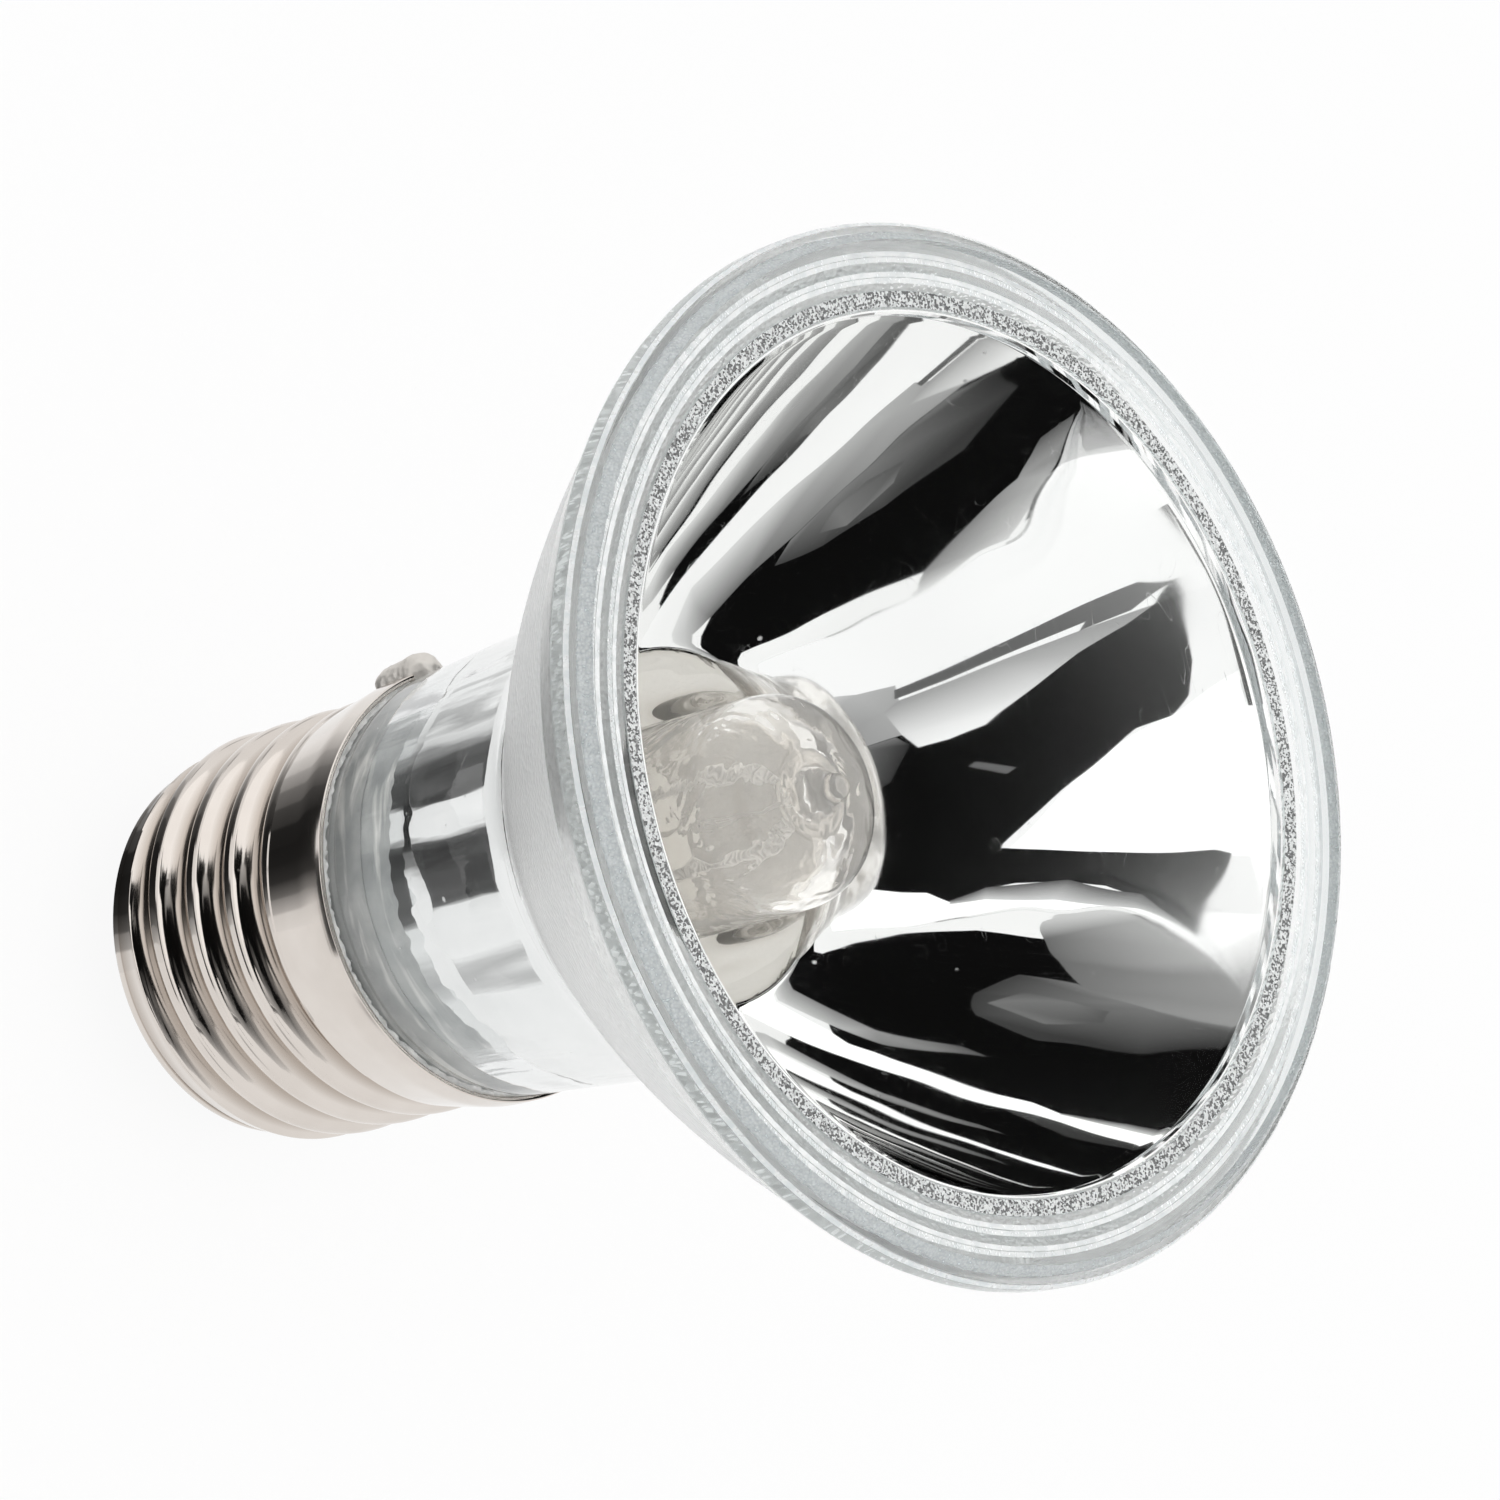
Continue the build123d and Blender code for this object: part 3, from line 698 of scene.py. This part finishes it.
def make_reflector():
    """Spigot, neck, flared bowl and flange in one piece of glass."""
    neck_mouth = 13.1 * MM
    neck_foot = (13.65 * MM, shell_mouth + 1.3 * MM)
    neck_top = (15.0 * MM, ledge_height - 25.4 * MM)
    flare_foot = (16.6 * MM, ledge_height - 22.6 * MM)
    flange_back = (31.4 * MM, ledge_height - 2.2 * MM)
    opening = (OPENING_RADIUS - SINK, opening_height)
    bore_foot = (SPIGOT_BORE - SINK, spigot_bottom)
    outline = [
        bore_foot,
        (SPIGOT_RADIUS + SINK, spigot_bottom),
        (SPIGOT_RADIUS + SINK, shell_mouth - 5.0 * MM),
        (neck_mouth + SINK, shell_mouth - 1.0 * MM),
        (neck_mouth, shell_mouth, 0.3 * MM),
        (*neck_foot, 0.6 * MM),
        *stretch(neck_foot, neck_top, 24),
        (*neck_top, 1.2 * MM),
        (*flare_foot, 1.0 * MM),
        *stretch(flare_foot, flange_back, 29, 0.9 * MM),
        (*flange_back, 0.25 * MM),
        (rim_radius, ledge_height - 1.5 * MM, 0.25 * MM),
        (rim_radius, ledge_height - 0.25 * MM, EDGE_ROUND),
        (rim_radius - 0.25 * MM, ledge_height, EDGE_ROUND),
        (MIRROR_MOUTH_RADIUS, ledge_height),
        *parabola(MIRROR_MOUTH_RADIUS, OPENING_RADIUS, 0, 40)[1:-1],
        (*opening, LIP_ROUND),
        *stretch(opening, bore_foot, 40),
    ]
    reflector = turned_piece("reflector_pressed", outline, 288)
    wave_low, wave_high = shell_mouth + 1.0 * MM, ledge_height - 24.0 * MM

    def press(point):
        """Waves on the neck's outside and in its bore, and small unevenness along the flange's edges."""
        angle, radius = polar(point)
        if radius > 12 * MM and wave_low < point.z < wave_high:
            fade = smooth_step(wave_low, wave_low + 3 * MM, point.z)
            fade *= 1 - smooth_step(wave_high - 3 * MM, wave_high, point.z)
            wave = two_ripples(angle, point.z / MM, (4.0, 0.04, 1.0), 0.12, (9.0, 0.15, 3.0))
            radius += wave * NECK_WAVE * fade
        if radius < 11.5 * MM:
            radius += bore_wave(angle, point.z)
        if radius > 31.6 * MM and point.z > ledge_height - 1.6 * MM:
            uneven = two_ripples(angle, 0.0, (14.0, 0.0, 7.0), 0.5, (45.0, 0.0, 9.0))
            radius -= (0.04 + 0.05 * abs(uneven)) * MM
        return at_radius(point, radius)

    move_points(reflector, press)
    glasses = (clear_glass, etched_glass, ledge_glass, edge_glass, flare_edge_glass)
    finish_piece(reflector, "clear_glass", "reflector_glass", *glasses)
    etched, ledge, edge, flare_edge = range(1, len(glasses))
    for face in reflector.data.polygons:
        middle = face.center
        spoke = polar(middle)[1]
        below = ledge_height - middle.z
        outside = face.normal.x * middle.x + face.normal.y * middle.y > 0
        if outside and 2.3 * MM < below < 23.4 * MM and spoke > 15.2 * MM:
            face.material_index = etched if below > 4.5 * MM else flare_edge
        elif spoke > MIRROR_MOUTH_RADIUS and below < 1.5 * MM and face.normal.z > -0.3:
            face.material_index = edge if 0.3 < face.normal.z < 0.9 else ledge


def make_mirror_film():
    """Mirror coating on the bowl and the neck, with the wavy edge where the coating ends."""
    film_end = film_low.z
    inner_mouth = bowl_radius(ledge_height, FILM_RISE)
    outside = parabola(OPENING_RADIUS, MIRROR_MOUTH_RADIUS, -SINK, 40)
    inside = parabola(inner_mouth, OPENING_RADIUS - FILM_NECK, FILM_RISE, 60)
    neck_outside = (bore_radius(film_end) + SINK, film_end)
    neck_inside = (bore_radius(film_end) - FILM_NECK, film_end)
    outline = [
        neck_outside,
        *stretch(neck_outside, outside[0], 24),
        (*outside[0], LIP_ROUND),
        *outside[1:],
        (inner_mouth, ledge_height - SINK),
        *inside[1:-1],
        (*inside[-1], LIP_ROUND),
        *stretch(inside[-1], neck_inside, 24),
        neck_inside,
    ]
    film = turned_piece("mirror_coating", outline, 288, 8)

    def run_out(point):
        """Lets the coating's end wander along the neck."""
        share = 1 - smooth_step(film_end, film_end + 6 * MM, point.z)
        angle, radius = polar(point)
        if point.z < opening_height:
            point = at_radius(point, radius + bore_wave(angle, point.z))
        wave = 2.7 + 0.7 * cos(angle) ** 2
        wave += 0.5 * ripple(angle, 0.0, 5.0, 0.0, 5.0) + 0.35 * ripple(angle, 0.0, 14.0, 0.0, 2.0)
        return Vector((point.x, point.y, point.z + share * wave * MM))

    move_points(film, run_out)
    finish_piece(film, "mirror_coating", "mirror_film", mirror)


# Front lens and the sealant round it
def make_front_lens():
    """Flat front glass with a plug, a stippled ring and two pressed ridges."""
    plug_radius = bowl_radius(plug_bottom, FILM_RISE) - 0.2 * MM
    stipple_inner, stipple_outer = 26.95 * MM, 27.9 * MM
    foot = ledge_height + SINK
    stipple_face = ledge_height + 0.12 * MM
    ridge = foot + 0.03 * MM
    outline = [
        (0, front_height),
        *stretch((0, front_height), (lens_radius, front_height), 8),
        (lens_radius, front_height, 0.3 * MM),
        (lens_radius, foot, 0.1 * MM),
    ]
    for outer, crest, inner in ((30.3, 30.0, 29.7), (29.0, 28.75, 28.5)):
        outline += [
            (outer * MM, foot, 0.15 * MM),
            (crest * MM, ridge, 0.12 * MM),
            (inner * MM, foot, 0.15 * MM),
        ]
    outline += [
        (stipple_outer, foot),
        (stipple_outer, stipple_face),
        *stretch((stipple_outer, stipple_face), (stipple_inner, stipple_face), 4),
        (stipple_inner, stipple_face, 0.1 * MM),
        (plug_radius, plug_bottom, 0.15 * MM),
        *stretch((plug_radius, plug_bottom), (0, plug_bottom), 8),
        (0, plug_bottom),
    ]
    lens = turned_piece("front_lens_pressed", outline, 288)
    finish_piece(lens, "lens_glass", "front_lens", front_glass, stipple_glass, ridge_glass)
    for face in lens.data.polygons:
        spoke = polar(face.center)[1]
        on_ridges = 28.3 * MM < spoke < 30.5 * MM and face.center.z < ledge_height + 0.2 * MM
        if face.normal.z < -0.9 and stipple_inner < spoke < stipple_outer:
            face.material_index = 1
        elif on_ridges and face.normal.z > -0.9995:
            face.material_index = 2


def make_rim_seal():
    """Bead of sealant that dried rough round the lens."""
    seal_edge = seal_high.x
    foot = ledge_height + SINK
    inner = lens_radius + SINK
    outline = [
        (inner, foot),
        (seal_edge, foot),
        (seal_edge, ledge_height + 0.35 * MM, 0.2 * MM),
        (between(inner, seal_edge, 0.4), seal_high.z - 0.15 * MM, 0.2 * MM),
        (inner, seal_high.z),
    ]
    seal = turned_piece("rim_seal_bead", outline, 720)

    def roughen(point):
        """Lumps along the bead's free side."""
        angle, radius = polar(point)
        share = min(max((radius - inner) / (seal_edge - inner), 0.0), 1.0)
        lump = abs(two_ripples(angle, point.z / MM, (60.0, 3.0, 1.0), 0.6, (150.0, 6.0, 4.0)))
        point = at_radius(point, radius - share * 0.12 * MM * lump)
        if point.z > ledge_height + 0.3 * MM:
            point.z -= 0.14 * MM * lump
        return point

    move_points(seal, roughen)
    finish_piece(seal, "sealant", "rim_seal", sealant)


# Halogen capsule
def pinch_half(height, thin, wide, foot, top):
    """Half thickness of the capsule across its pinch, which widens in a smooth shoulder."""
    return between(thin, wide, smooth_step(foot, top, height))


def flattened(point, half):
    """Point pressed between two flat jaws that are a half thickness away from the middle."""
    return Vector((point.x, max(min(point.y, half), -half), point.z))


def make_capsule():
    """Quartz tube with a domed end, an exhaust tip and a flat pinch, hollow inside."""
    radius = capsule_high.x
    wall = 1.0 * MM
    tube_top = capsule_high.z - 2.6 * MM
    pinch_bottom = capsule_low.z
    pinch_top = shell_mouth
    tube_foot = pinch_top + 6.5 * MM
    dome = 3.4 * MM
    tip = 0.9 * MM
    outline = [
        (0, pinch_bottom),
        (radius, pinch_bottom, 0.4 * MM),
        *stretch((radius, pinch_bottom), (radius, tube_top - dome), 40),
        (radius, tube_top, dome),
        (3.1 * MM, tube_top - 0.02 * MM, 0.2 * MM),
        (2.7 * MM, tube_top - 0.2 * MM, 0.2 * MM),
        (2.3 * MM, tube_top - 0.02 * MM, 0.2 * MM),
        (1.8 * MM, tube_top, 0.35 * MM),
        (tip, capsule_high.z - tip, 0.4 * MM),
        (tip, capsule_high.z, 0.85 * MM),
        (0, capsule_high.z),
    ]
    envelope = turned_piece("capsule_blown", outline, 160, 10)

    def pinch(point):
        """Presses the tube's lower end flat, and into the cement round it."""
        flat = flattened(point, pinch_half(point.z, 1.8 * MM, radius, pinch_top, tube_foot))
        if point.z < cement_high.z + 0.5 * MM:
            flat.y *= 1 + SINK / radius
        return flat

    move_points(envelope, pinch)
    inside = radius - wall
    inside_top = tube_top - wall
    inside_dome = 4.4 * MM
    chamber_foot = pinch_top + wall
    hollow = [
        (0, chamber_foot),
        (inside, chamber_foot, 0.8 * MM),
        *stretch((inside, chamber_foot), (inside, inside_top - inside_dome), 24),
        (inside, inside_top, inside_dome),
        (1.1 * MM, inside_top, 0.4 * MM),
        (0.5 * MM, inside_top + 0.5 * MM, 0.3 * MM),
        (0, inside_top + 0.5 * MM),
    ]
    chamber = turned_piece("capsule_chamber", hollow, 160, 10)

    def narrow(point):
        """Follows the pinch inside, with the swirls of blown quartz."""
        point = flattened(point, pinch_half(point.z, 0.3 * MM, inside, chamber_foot + wall, tube_foot + wall))
        swirl = noise.noise(point * 330) * 0.34 * MM
        swirl = abs(swirl + noise.noise(point * 800 + Vector((5, 5, 5))) * 0.06 * MM)
        return point - Vector((point.x, point.y, 0)).normalized() * swirl * 0.6 - Vector((0, 0, swirl))

    move_points(chamber, narrow)
    edit_all()
    bpy.ops.mesh.flip_normals()
    end_edit()
    capsule = joined("capsule_blown", [envelope, chamber])
    bpy.ops.object.shade_smooth_by_angle(angle=radians(60))
    finish_piece(capsule, "quartz", "capsule_envelope", quartz)


def coil_stretch(start, end, coil_radius, wire_radius, pitch):
    """Coil of round wire from one point to another."""
    start, end = Vector(start), Vector(end)
    along = end - start
    bpy.ops.mesh.primitive_circle_add(vertices=WIRE_SIDES, radius=wire_radius, fill_type="NOTHING")
    coil = bpy.context.object
    edit_all()
    bpy.ops.transform.rotate(value=pi / 2, orient_axis="X", center_override=(0, 0, 0))
    bpy.ops.transform.translate(value=(coil_radius, 0, 0))
    end_edit()
    turns = max(int(along.length / pitch), 1)
    steps = {"steps": 14, "render_steps": 14, "iterations": turns, "screw_offset": pitch}
    apply_modifier(coil, "SCREW", axis="Z", use_normal_calculate=True, **steps)
    coil.matrix_world = Matrix.Translation(start) @ along.to_track_quat("Z", "Y").to_matrix().to_4x4()
    bpy.ops.object.transform_apply()
    return coil


def make_filament():
    """Tungsten coil: two legs and a bridge over the support wire."""
    leg = filament_high.x - 0.5 * MM
    foot = filament_low.z
    top = filament_high.z - 0.5 * MM
    bend = top - 2.0 * MM
    bridge = 0.8 * MM
    route = [
        (-leg, 0, foot), (-leg, 0, bend), (-bridge, 0, top),
        (bridge, 0, top), (leg, 0, bend), (leg, 0, foot),
    ]
    wire = {"coil_radius": 0.38 * MM, "wire_radius": 0.11 * MM, "pitch": 0.34 * MM}
    coils = [coil_stretch(here, after, **wire) for here, after in zip(route, route[1:])]
    filament = joined("filament_coil", coils)
    edit_all()
    bpy.ops.mesh.fill_holes(sides=WIRE_SIDES)
    bpy.ops.mesh.select_all(action="SELECT")
    bpy.ops.mesh.normals_make_consistent()
    end_edit()
    bpy.ops.object.shade_smooth()
    finish_piece(filament, "tungsten", "filament", tungsten)


# Basing cement and solder at the shell's mouth
def make_cap_cement():
    """Cement between spigot and shell, crumbly where it shows in the shell's mouth."""
    low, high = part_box("cap_cement")
    inner, outer = 13.02 * MM, skirt_radius - SHELL_WALL - SINK
    root = THREAD_CREST_RADIUS - 1.45 * MM
    outline = [
        (SPIGOT_RADIUS, low.z),
        (root, low.z),
        (root, skirt_step_foot),
        (SKIRT_FOOT_RADIUS - SHELL_WALL - SINK, skirt_foot),
        (outer, skirt_rim_foot),
        *stretch((outer, skirt_rim_foot), (outer, high.z), 3),
        (outer, high.z, 0.1 * MM),
        *stretch((outer, high.z), (inner, high.z), 5),
        (inner, high.z),
        (inner, shell_mouth - 1.0 * MM),
        (SPIGOT_RADIUS, shell_mouth - 5.0 * MM),
    ]
    fill = turned_piece("cap_cement_fill", outline, 480, 3)

    def crumble(point):
        """Grains on the face that shows."""
        if point.z < high.z - 0.2 * MM:
            return point
        angle, radius = polar(point)
        grain = two_ripples(angle, radius / MM, (26.0, 3.0, 2.0), 0.6, (70.0, 6.0, 4.0))
        return Vector((point.x, point.y, point.z + (0.25 * grain + 0.05) * MM))

    move_points(fill, crumble)
    finish_piece(fill, "cement", "cap_cement", basing_cement)


def make_side_solder():
    """Bead of solder with a smaller one run down beside it, melted together."""
    low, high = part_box("side_solder")
    bead = Vector((low.x + 1.5 * MM, 0, high.z - 1.5 * MM, 1.5 * MM))
    tail = Vector((bead[0], -0.6 * MM, bead[2] - 2.0 * MM, 1.15 * MM))
    centre = Vector((bead[0], -0.3 * MM, bead[2] - 1.0 * MM))
    drops = []
    for step in range(5):
        *place, size = bead.lerp(tail, step / 4)
        bpy.ops.mesh.primitive_ico_sphere_add(subdivisions=4, radius=size, location=place)
        drops.append(bpy.context.object)
    blob = joined("side_solder_bead", drops)
    bpy.ops.object.transform_apply()
    apply_modifier(blob, "REMESH", mode="VOXEL", voxel_size=0.07 * MM)
    apply_modifier(blob, "SMOOTH", factor=0.6, iterations=12)

    def lump(point):
        """Uneven skin of solder that set quickly."""
        bump = noise.noise(point * 1400) * 0.08 * MM + noise.noise(point * 3200) * 0.03 * MM
        return point + (point - centre).normalized() * (bump - 0.03 * MM)

    move_points(blob, lump)
    bpy.ops.object.shade_smooth()
    finish_piece(blob, "solder", "side_solder", solder)


for make_piece in (
    make_screw_shell, make_reflector, make_mirror_film, make_front_lens, make_rim_seal,
    make_capsule, make_filament, make_cap_cement, make_side_solder,
):
    make_piece()

# Solids that keep their own shape get the same finishes
for name, finish in {
    "shell_insulator": insulator_glass,
    "centre_contact": brass,
    "contact_solder": solder,
    "capsule_cement": inner_putty,
    "seal_foils": molybdenum,
    "inner_leads": molybdenum,
    "outer_pins": molybdenum,
    "filament_support": tungsten,
    "contact_lead": lead_wire,
    "shell_lead": lead_wire,
}.items():
    nodes[name].data.materials.clear()
    nodes[name].data.materials.append(finish)


# Camera
camera_back = -CAMERA_FORWARD
camera_right = (CAMERA_RIGHT - CAMERA_RIGHT.dot(camera_back) * camera_back).normalized()
camera_up = camera_back.cross(camera_right)
camera_data = bpy.data.cameras.new("photo_camera")
camera_data.lens = CAMERA_LENS
camera_data.clip_start = 0.01
camera = bpy.data.objects.new("photo_camera", camera_data)
scene = bpy.context.scene
scene.collection.objects.link(camera)
turn = Matrix((camera_right, camera_up, camera_back)).transposed().to_4x4()
camera.matrix_world = Matrix.Translation(CAMERA_PLACE) @ turn
scene.camera = camera
scene.view_settings.view_transform = "Standard"

# Light goes through many glass faces and off the mirror before it reaches the cement and the flange
light_paths = scene.cycles
light_paths.max_bounces = 18
light_paths.diffuse_bounces = 4
light_paths.glossy_bounces = 9
light_paths.transmission_bounces = 16
light_paths.blur_glossy = 0.0


# Floor, dome of light and the cards and flags that the metal and the mirror show
def bare_material(name):
    """Material and its empty tree."""
    material, tree, _ = new_finish(name)
    tree.nodes.clear()
    return material, tree


def show(tree, surface):
    """Makes a shader the material's surface."""
    add_node(tree, "OutputMaterial", {"Surface": surface})


def mixed(tree, share, first, second):
    """Two shaders mixed by a share of the second."""
    return add_node(tree, "MixShader", {"Fac": share, 1: first, 2: second}).outputs[0]


def tone_material():
    """Cards and flags, each point of which shows its own plain tone, and white to what is matt."""
    material, tree = bare_material("studio_card")
    tone = add_node(tree, "Attribute", attribute_name="tone").outputs["Fac"]
    path = add_node(tree, "LightPath").outputs
    matt = maths(tree, "MINIMUM", path["Diffuse Depth"], 1.0)
    shown = maths(tree, "MAXIMUM", tone, matt)
    show(tree, add_node(tree, "Emission", {"Strength": shown}).outputs[0])
    return material


def floor_material():
    """Pale floor that shows as white and keeps a faint shadow, and that is open to a look from below."""
    material, tree = bare_material("pale_floor")
    matt = add_node(tree, "BsdfDiffuse", {"Color": (0.9, 0.9, 0.9, 1)}).outputs[0]
    glow = add_node(tree, "Emission").outputs[0]
    path = add_node(tree, "LightPath").outputs
    seen = maths(tree, "MAXIMUM", path["Is Camera Ray"], path["Is Glossy Ray"])
    seen = maths(tree, "MAXIMUM", seen, path["Is Transmission Ray"])
    above = mixed(tree, maths(tree, "MULTIPLY", seen, 0.9), matt, glow)
    under = add_node(tree, "NewGeometry").outputs["Backfacing"]
    show(tree, mixed(tree, under, above, add_node(tree, "BsdfTransparent").outputs[0]))
    return material


def studio_direction(across, above):
    """Direction from the bulb, in degrees across from the camera and above it."""
    turn_across, turn_above = radians(across), radians(above)
    level = camera_back * cos(turn_across) + camera_right * sin(turn_across)
    return level * cos(turn_above) + camera_up * sin(turn_above)


def stage_card(card):
    """Lets only shine and glass show a card, so that it neither lights nor shades the bulb."""
    card.data.materials.append(card_tones)
    for ray in ("camera", "diffuse", "shadow", "volume_scatter"):
        setattr(card, f"visible_{ray}", False)


def make_card(name, distance, corners):
    """Flag or card: each corner is a direction across and above, and a tone."""
    points = [STUDIO_CENTRE + studio_direction(*corner[:2]) * distance for corner in corners]
    card = draw_loop(name, points, 0.01 * MM)
    bpy.ops.mesh.edge_face_add()
    bpy.ops.mesh.quads_convert_to_tris()
    end_edit()
    tones = []
    for vertex in card.data.vertices:
        nearest = min(range(len(points)), key=lambda index: (points[index] - vertex.co).length)
        tones.append(corners[nearest][2])
    give_values(card, "tone", tones)
    stage_card(card)
    return card


def toned(tone, corners):
    """Corners that all have one tone."""
    return [(across, above, tone) for across, above in corners]


def make_floor_sheet(name, near, far, columns):
    """Soft-edged dark sheet on the floor, part of a ring round the bulb, for its outside to show."""
    last = len(columns) - 1
    bpy.ops.mesh.primitive_grid_add(x_subdivisions=last, y_subdivisions=1, size=1)
    sheet = named(name)
    tones = []
    for vertex in sheet.data.vertices:
        angle, tone = columns[round((vertex.co.x + 0.5) * last)]
        reach = far if vertex.co.y > 0 else near
        vertex.co = Vector((cos(radians(angle)) * reach, sin(radians(angle)) * reach, 0.2 * MM))
        tones.append(tone)
    give_values(sheet, "tone", tones)
    stage_card(sheet)


DARK = 0.004
SOFTBOX = 1.25

# Cards by name, with their distance in metres and their corners
CARDS = [
    ("upper_softbox", 12.0, toned(SOFTBOX, [
        (-85, 48), (-60, 46), (-30, 42), (0, 42), (30, 38), (60, 40), (85, 48), (60, 84), (-60, 84),
    ])),
    ("left_softbox", 11.0, toned(SOFTBOX, [
        (-100, 24), (-70, 52), (-52, 48), (-44, 32), (-25, 28), (-28, 5), (-32, -4), (-40, -25),
        (-95, -5),
    ])),
    ("dark_room_flag", 3.5, toned(DARK, [
        (-50.6, 51.4), (-45.6, 47.3), (-41, 41.8), (-37.3, 38.9), (-32.7, 38.1), (-27.7, 38.5),
        (-24.3, 40.6), (-20.2, 45.6), (-16, 43), (-11, 43.8), (-1, 42.9), (4.8, 42.5), (9.4, 44.2),
        (12.5, 42), (14, 36), (22, 30), (23, 25), (25, 15), (28, 6), (31, -2), (33, -10), (30, -15),
        (22, -14), (14, -12), (4, -11), (-5, -13), (-8.5, -7.7), (-12.7, -8.6), (-16, -10.7),
        (-16.8, -13.6), (-19.3, -19), (-21.8, -24), (-24.3, -26.9), (-26, -29.8), (-26, -34),
        (-27.3, -29.8), (-29.3, -21.5), (-30.6, -14.8), (-31.6, -6.5), (-31.4, -2.7), (-30, -1.5),
        (-28.5, 4.3), (-26.8, 11), (-25.2, 19.3), (-23.9, 26.4), (-23.9, 27.7), (-41, 30.3),
        (-42.3, 31.4), (-43.9, 36.8), (-46, 42.7),
    ])),
    ("soft_edge_card", 2.3, [
        (-50.6, 51.4, 0.5), (-41, 45.5, 0.6), (-33, 43.5, 0.7), (-25, 44, 0.7), (-20.2, 46.5, 0.6),
        (-20.2, 45, 0.1), (-24.3, 40, 0.12), (-32.7, 37.6, 0.1), (-41, 41.3, 0.1),
    ]),
    ("wedge_card", 3.5, [
        (-8.5, -7.7, 0.95), (-12.7, -8.6, 1.0), (-16, -10.7, 1.0), (-16.8, -13.6, 0.95),
        (-19.3, -19, 0.75), (-21.8, -24, 0.5), (-24.3, -26.9, 0.4), (-26, -29.8, 0.35),
        (-20.6, -29, 0.35), (-12.7, -27.5, 0.4), (-2, -25, 0.35), (0, -22, 0.4), (-5, -13, 0.8),
    ]),
    ("table_edge_flag", 2.3, toned(0.13, [
        (-26, -33.6), (-23.5, -36), (-19.3, -34.8), (-12.7, -32.3), (-6, -30.2), (-0.2, -28.6),
        (-1, -25.7), (-7.7, -27.3), (-12.7, -28.6), (-20.6, -30.7), (-20.6, -29), (-24, -30),
    ])),
    ("right_arc_flag", 2.3, toned(DARK, [
        (-20.6, -49.8), (-24.6, -41.8), (-27.8, -33.8), (-31.4, -20), (-33.6, -10), (-35.3, -1.8),
        (-36.4, -1.8), (-34.9, -10), (-32.7, -20), (-29.1, -34), (-25.9, -42), (-21.8, -50),
    ])),
    ("camera_card", 2.3, [
        (-7, -9, 0.03), (-6, 3, 0.04), (0, 9, 0.05), (7, 7, 0.06), (13, 1, 0.05), (18, -8, 0.06),
        (15, -11.9, 0.22), (8, -11.4, 0.22), (4, -10.9, 0.2), (-4, -12.6, 0.2),
    ]),
    ("camera_glint_card", 2.2, [
        (2, -3, 0.1), (4, 2, 0.2), (10, 2, 0.2), (12, -4, 0.12), (9, -7, 0.2), (5, -7, 0.12),
    ]),
    ("table_top_card", 3.6, [
        (-5, -13, 0.4), (4, -11, 0.32), (14, -12, 0.2), (22, -14, 0.16), (30, -15, 0.16), (36, -16, 0.6),
        (42, -20, 0.8), (40, -32, 0.8), (20, -32, 0.75), (8, -30, 0.5), (0, -30, 0.45), (-2, -25, 0.4),
        (0, -22, 0.42),
    ]),
    ("light_streak_card", 2.3, [
        (-3, 24, 0.1), (0, 30, 0.25), (5, 35.5, 0.25), (12, 37.5, 0.55), (22, 38, 0.7), (30, 38, 0.9),
        (30, 31, 0.9), (22, 29, 0.3), (14, 29.5, 0.25), (8, 30, 0.35), (3, 26, 0.22), (0, 23, 0.1),
    ]),
    ("pale_dash_card", 2.3, toned(0.15, [(-21.4, 3.2), (-20.6, 4.6), (-16.2, 0.8), (-16.7, -0.4)])),
    ("lens_flag", 2.3, toned(DARK, [(64, -8), (116, -8), (116, 40), (64, 40)])),
]

# Tones of the floor sheets, by degrees round the bulb
CAP_SHEET = [
    (-196, 1.0), (-183, 0.8), (-173, 0.45), (-164, 0.2), (-154, 0.07), (-143, 0.02), (-133, 0.015),
    (-124, 0.02), (-116, 0.05), (-109, 0.3), (-102, 0.85), (-94, 1.0),
]
NECK_SHEET = [
    (-214, 1.0), (-209, 0.65), (-203, 0.6), (-198, 1.0), (-192, 1.0), (-188, 0.55), (-182, 0.5),
    (-177, 0.9), (-172, 0.8), (-165, 0.35), (-155, 0.12), (-147, 0.07), (-143, 0.1), (-140, 0.95),
    (-124, 1.0), (-120, 0.12), (-112, 0.05), (-104, 0.04), (-96, 0.07), (-88, 0.06), (-81, 0.12),
    (-77, 0.95), (-62, 1.0), (-55, 0.65), (-49, 0.55), (-43, 0.7), (-36, 0.97),
]


def make_studio():
    """Dome of white light with the dark room behind the camera and its few pale things."""
    world = bpy.data.worlds.new("studio")
    scene.world = world
    world.use_nodes = True
    world.node_tree.nodes["Background"].inputs["Color"].default_value = (1, 1, 1, 1)
    cards = {name: make_card(name, distance, corners) for name, distance, corners in CARDS}
    cards["lens_flag"].visible_transmission = False
    make_floor_sheet("cap_floor_sheet", 2 * MM, 42 * MM, CAP_SHEET)
    make_floor_sheet("neck_floor_sheet", 42 * MM, 66 * MM, NECK_SHEET)


bpy.ops.mesh.primitive_plane_add(size=8.0)
floor = named("floor")
floor.data.materials.append(floor_material())
card_tones = tone_material()
make_studio()
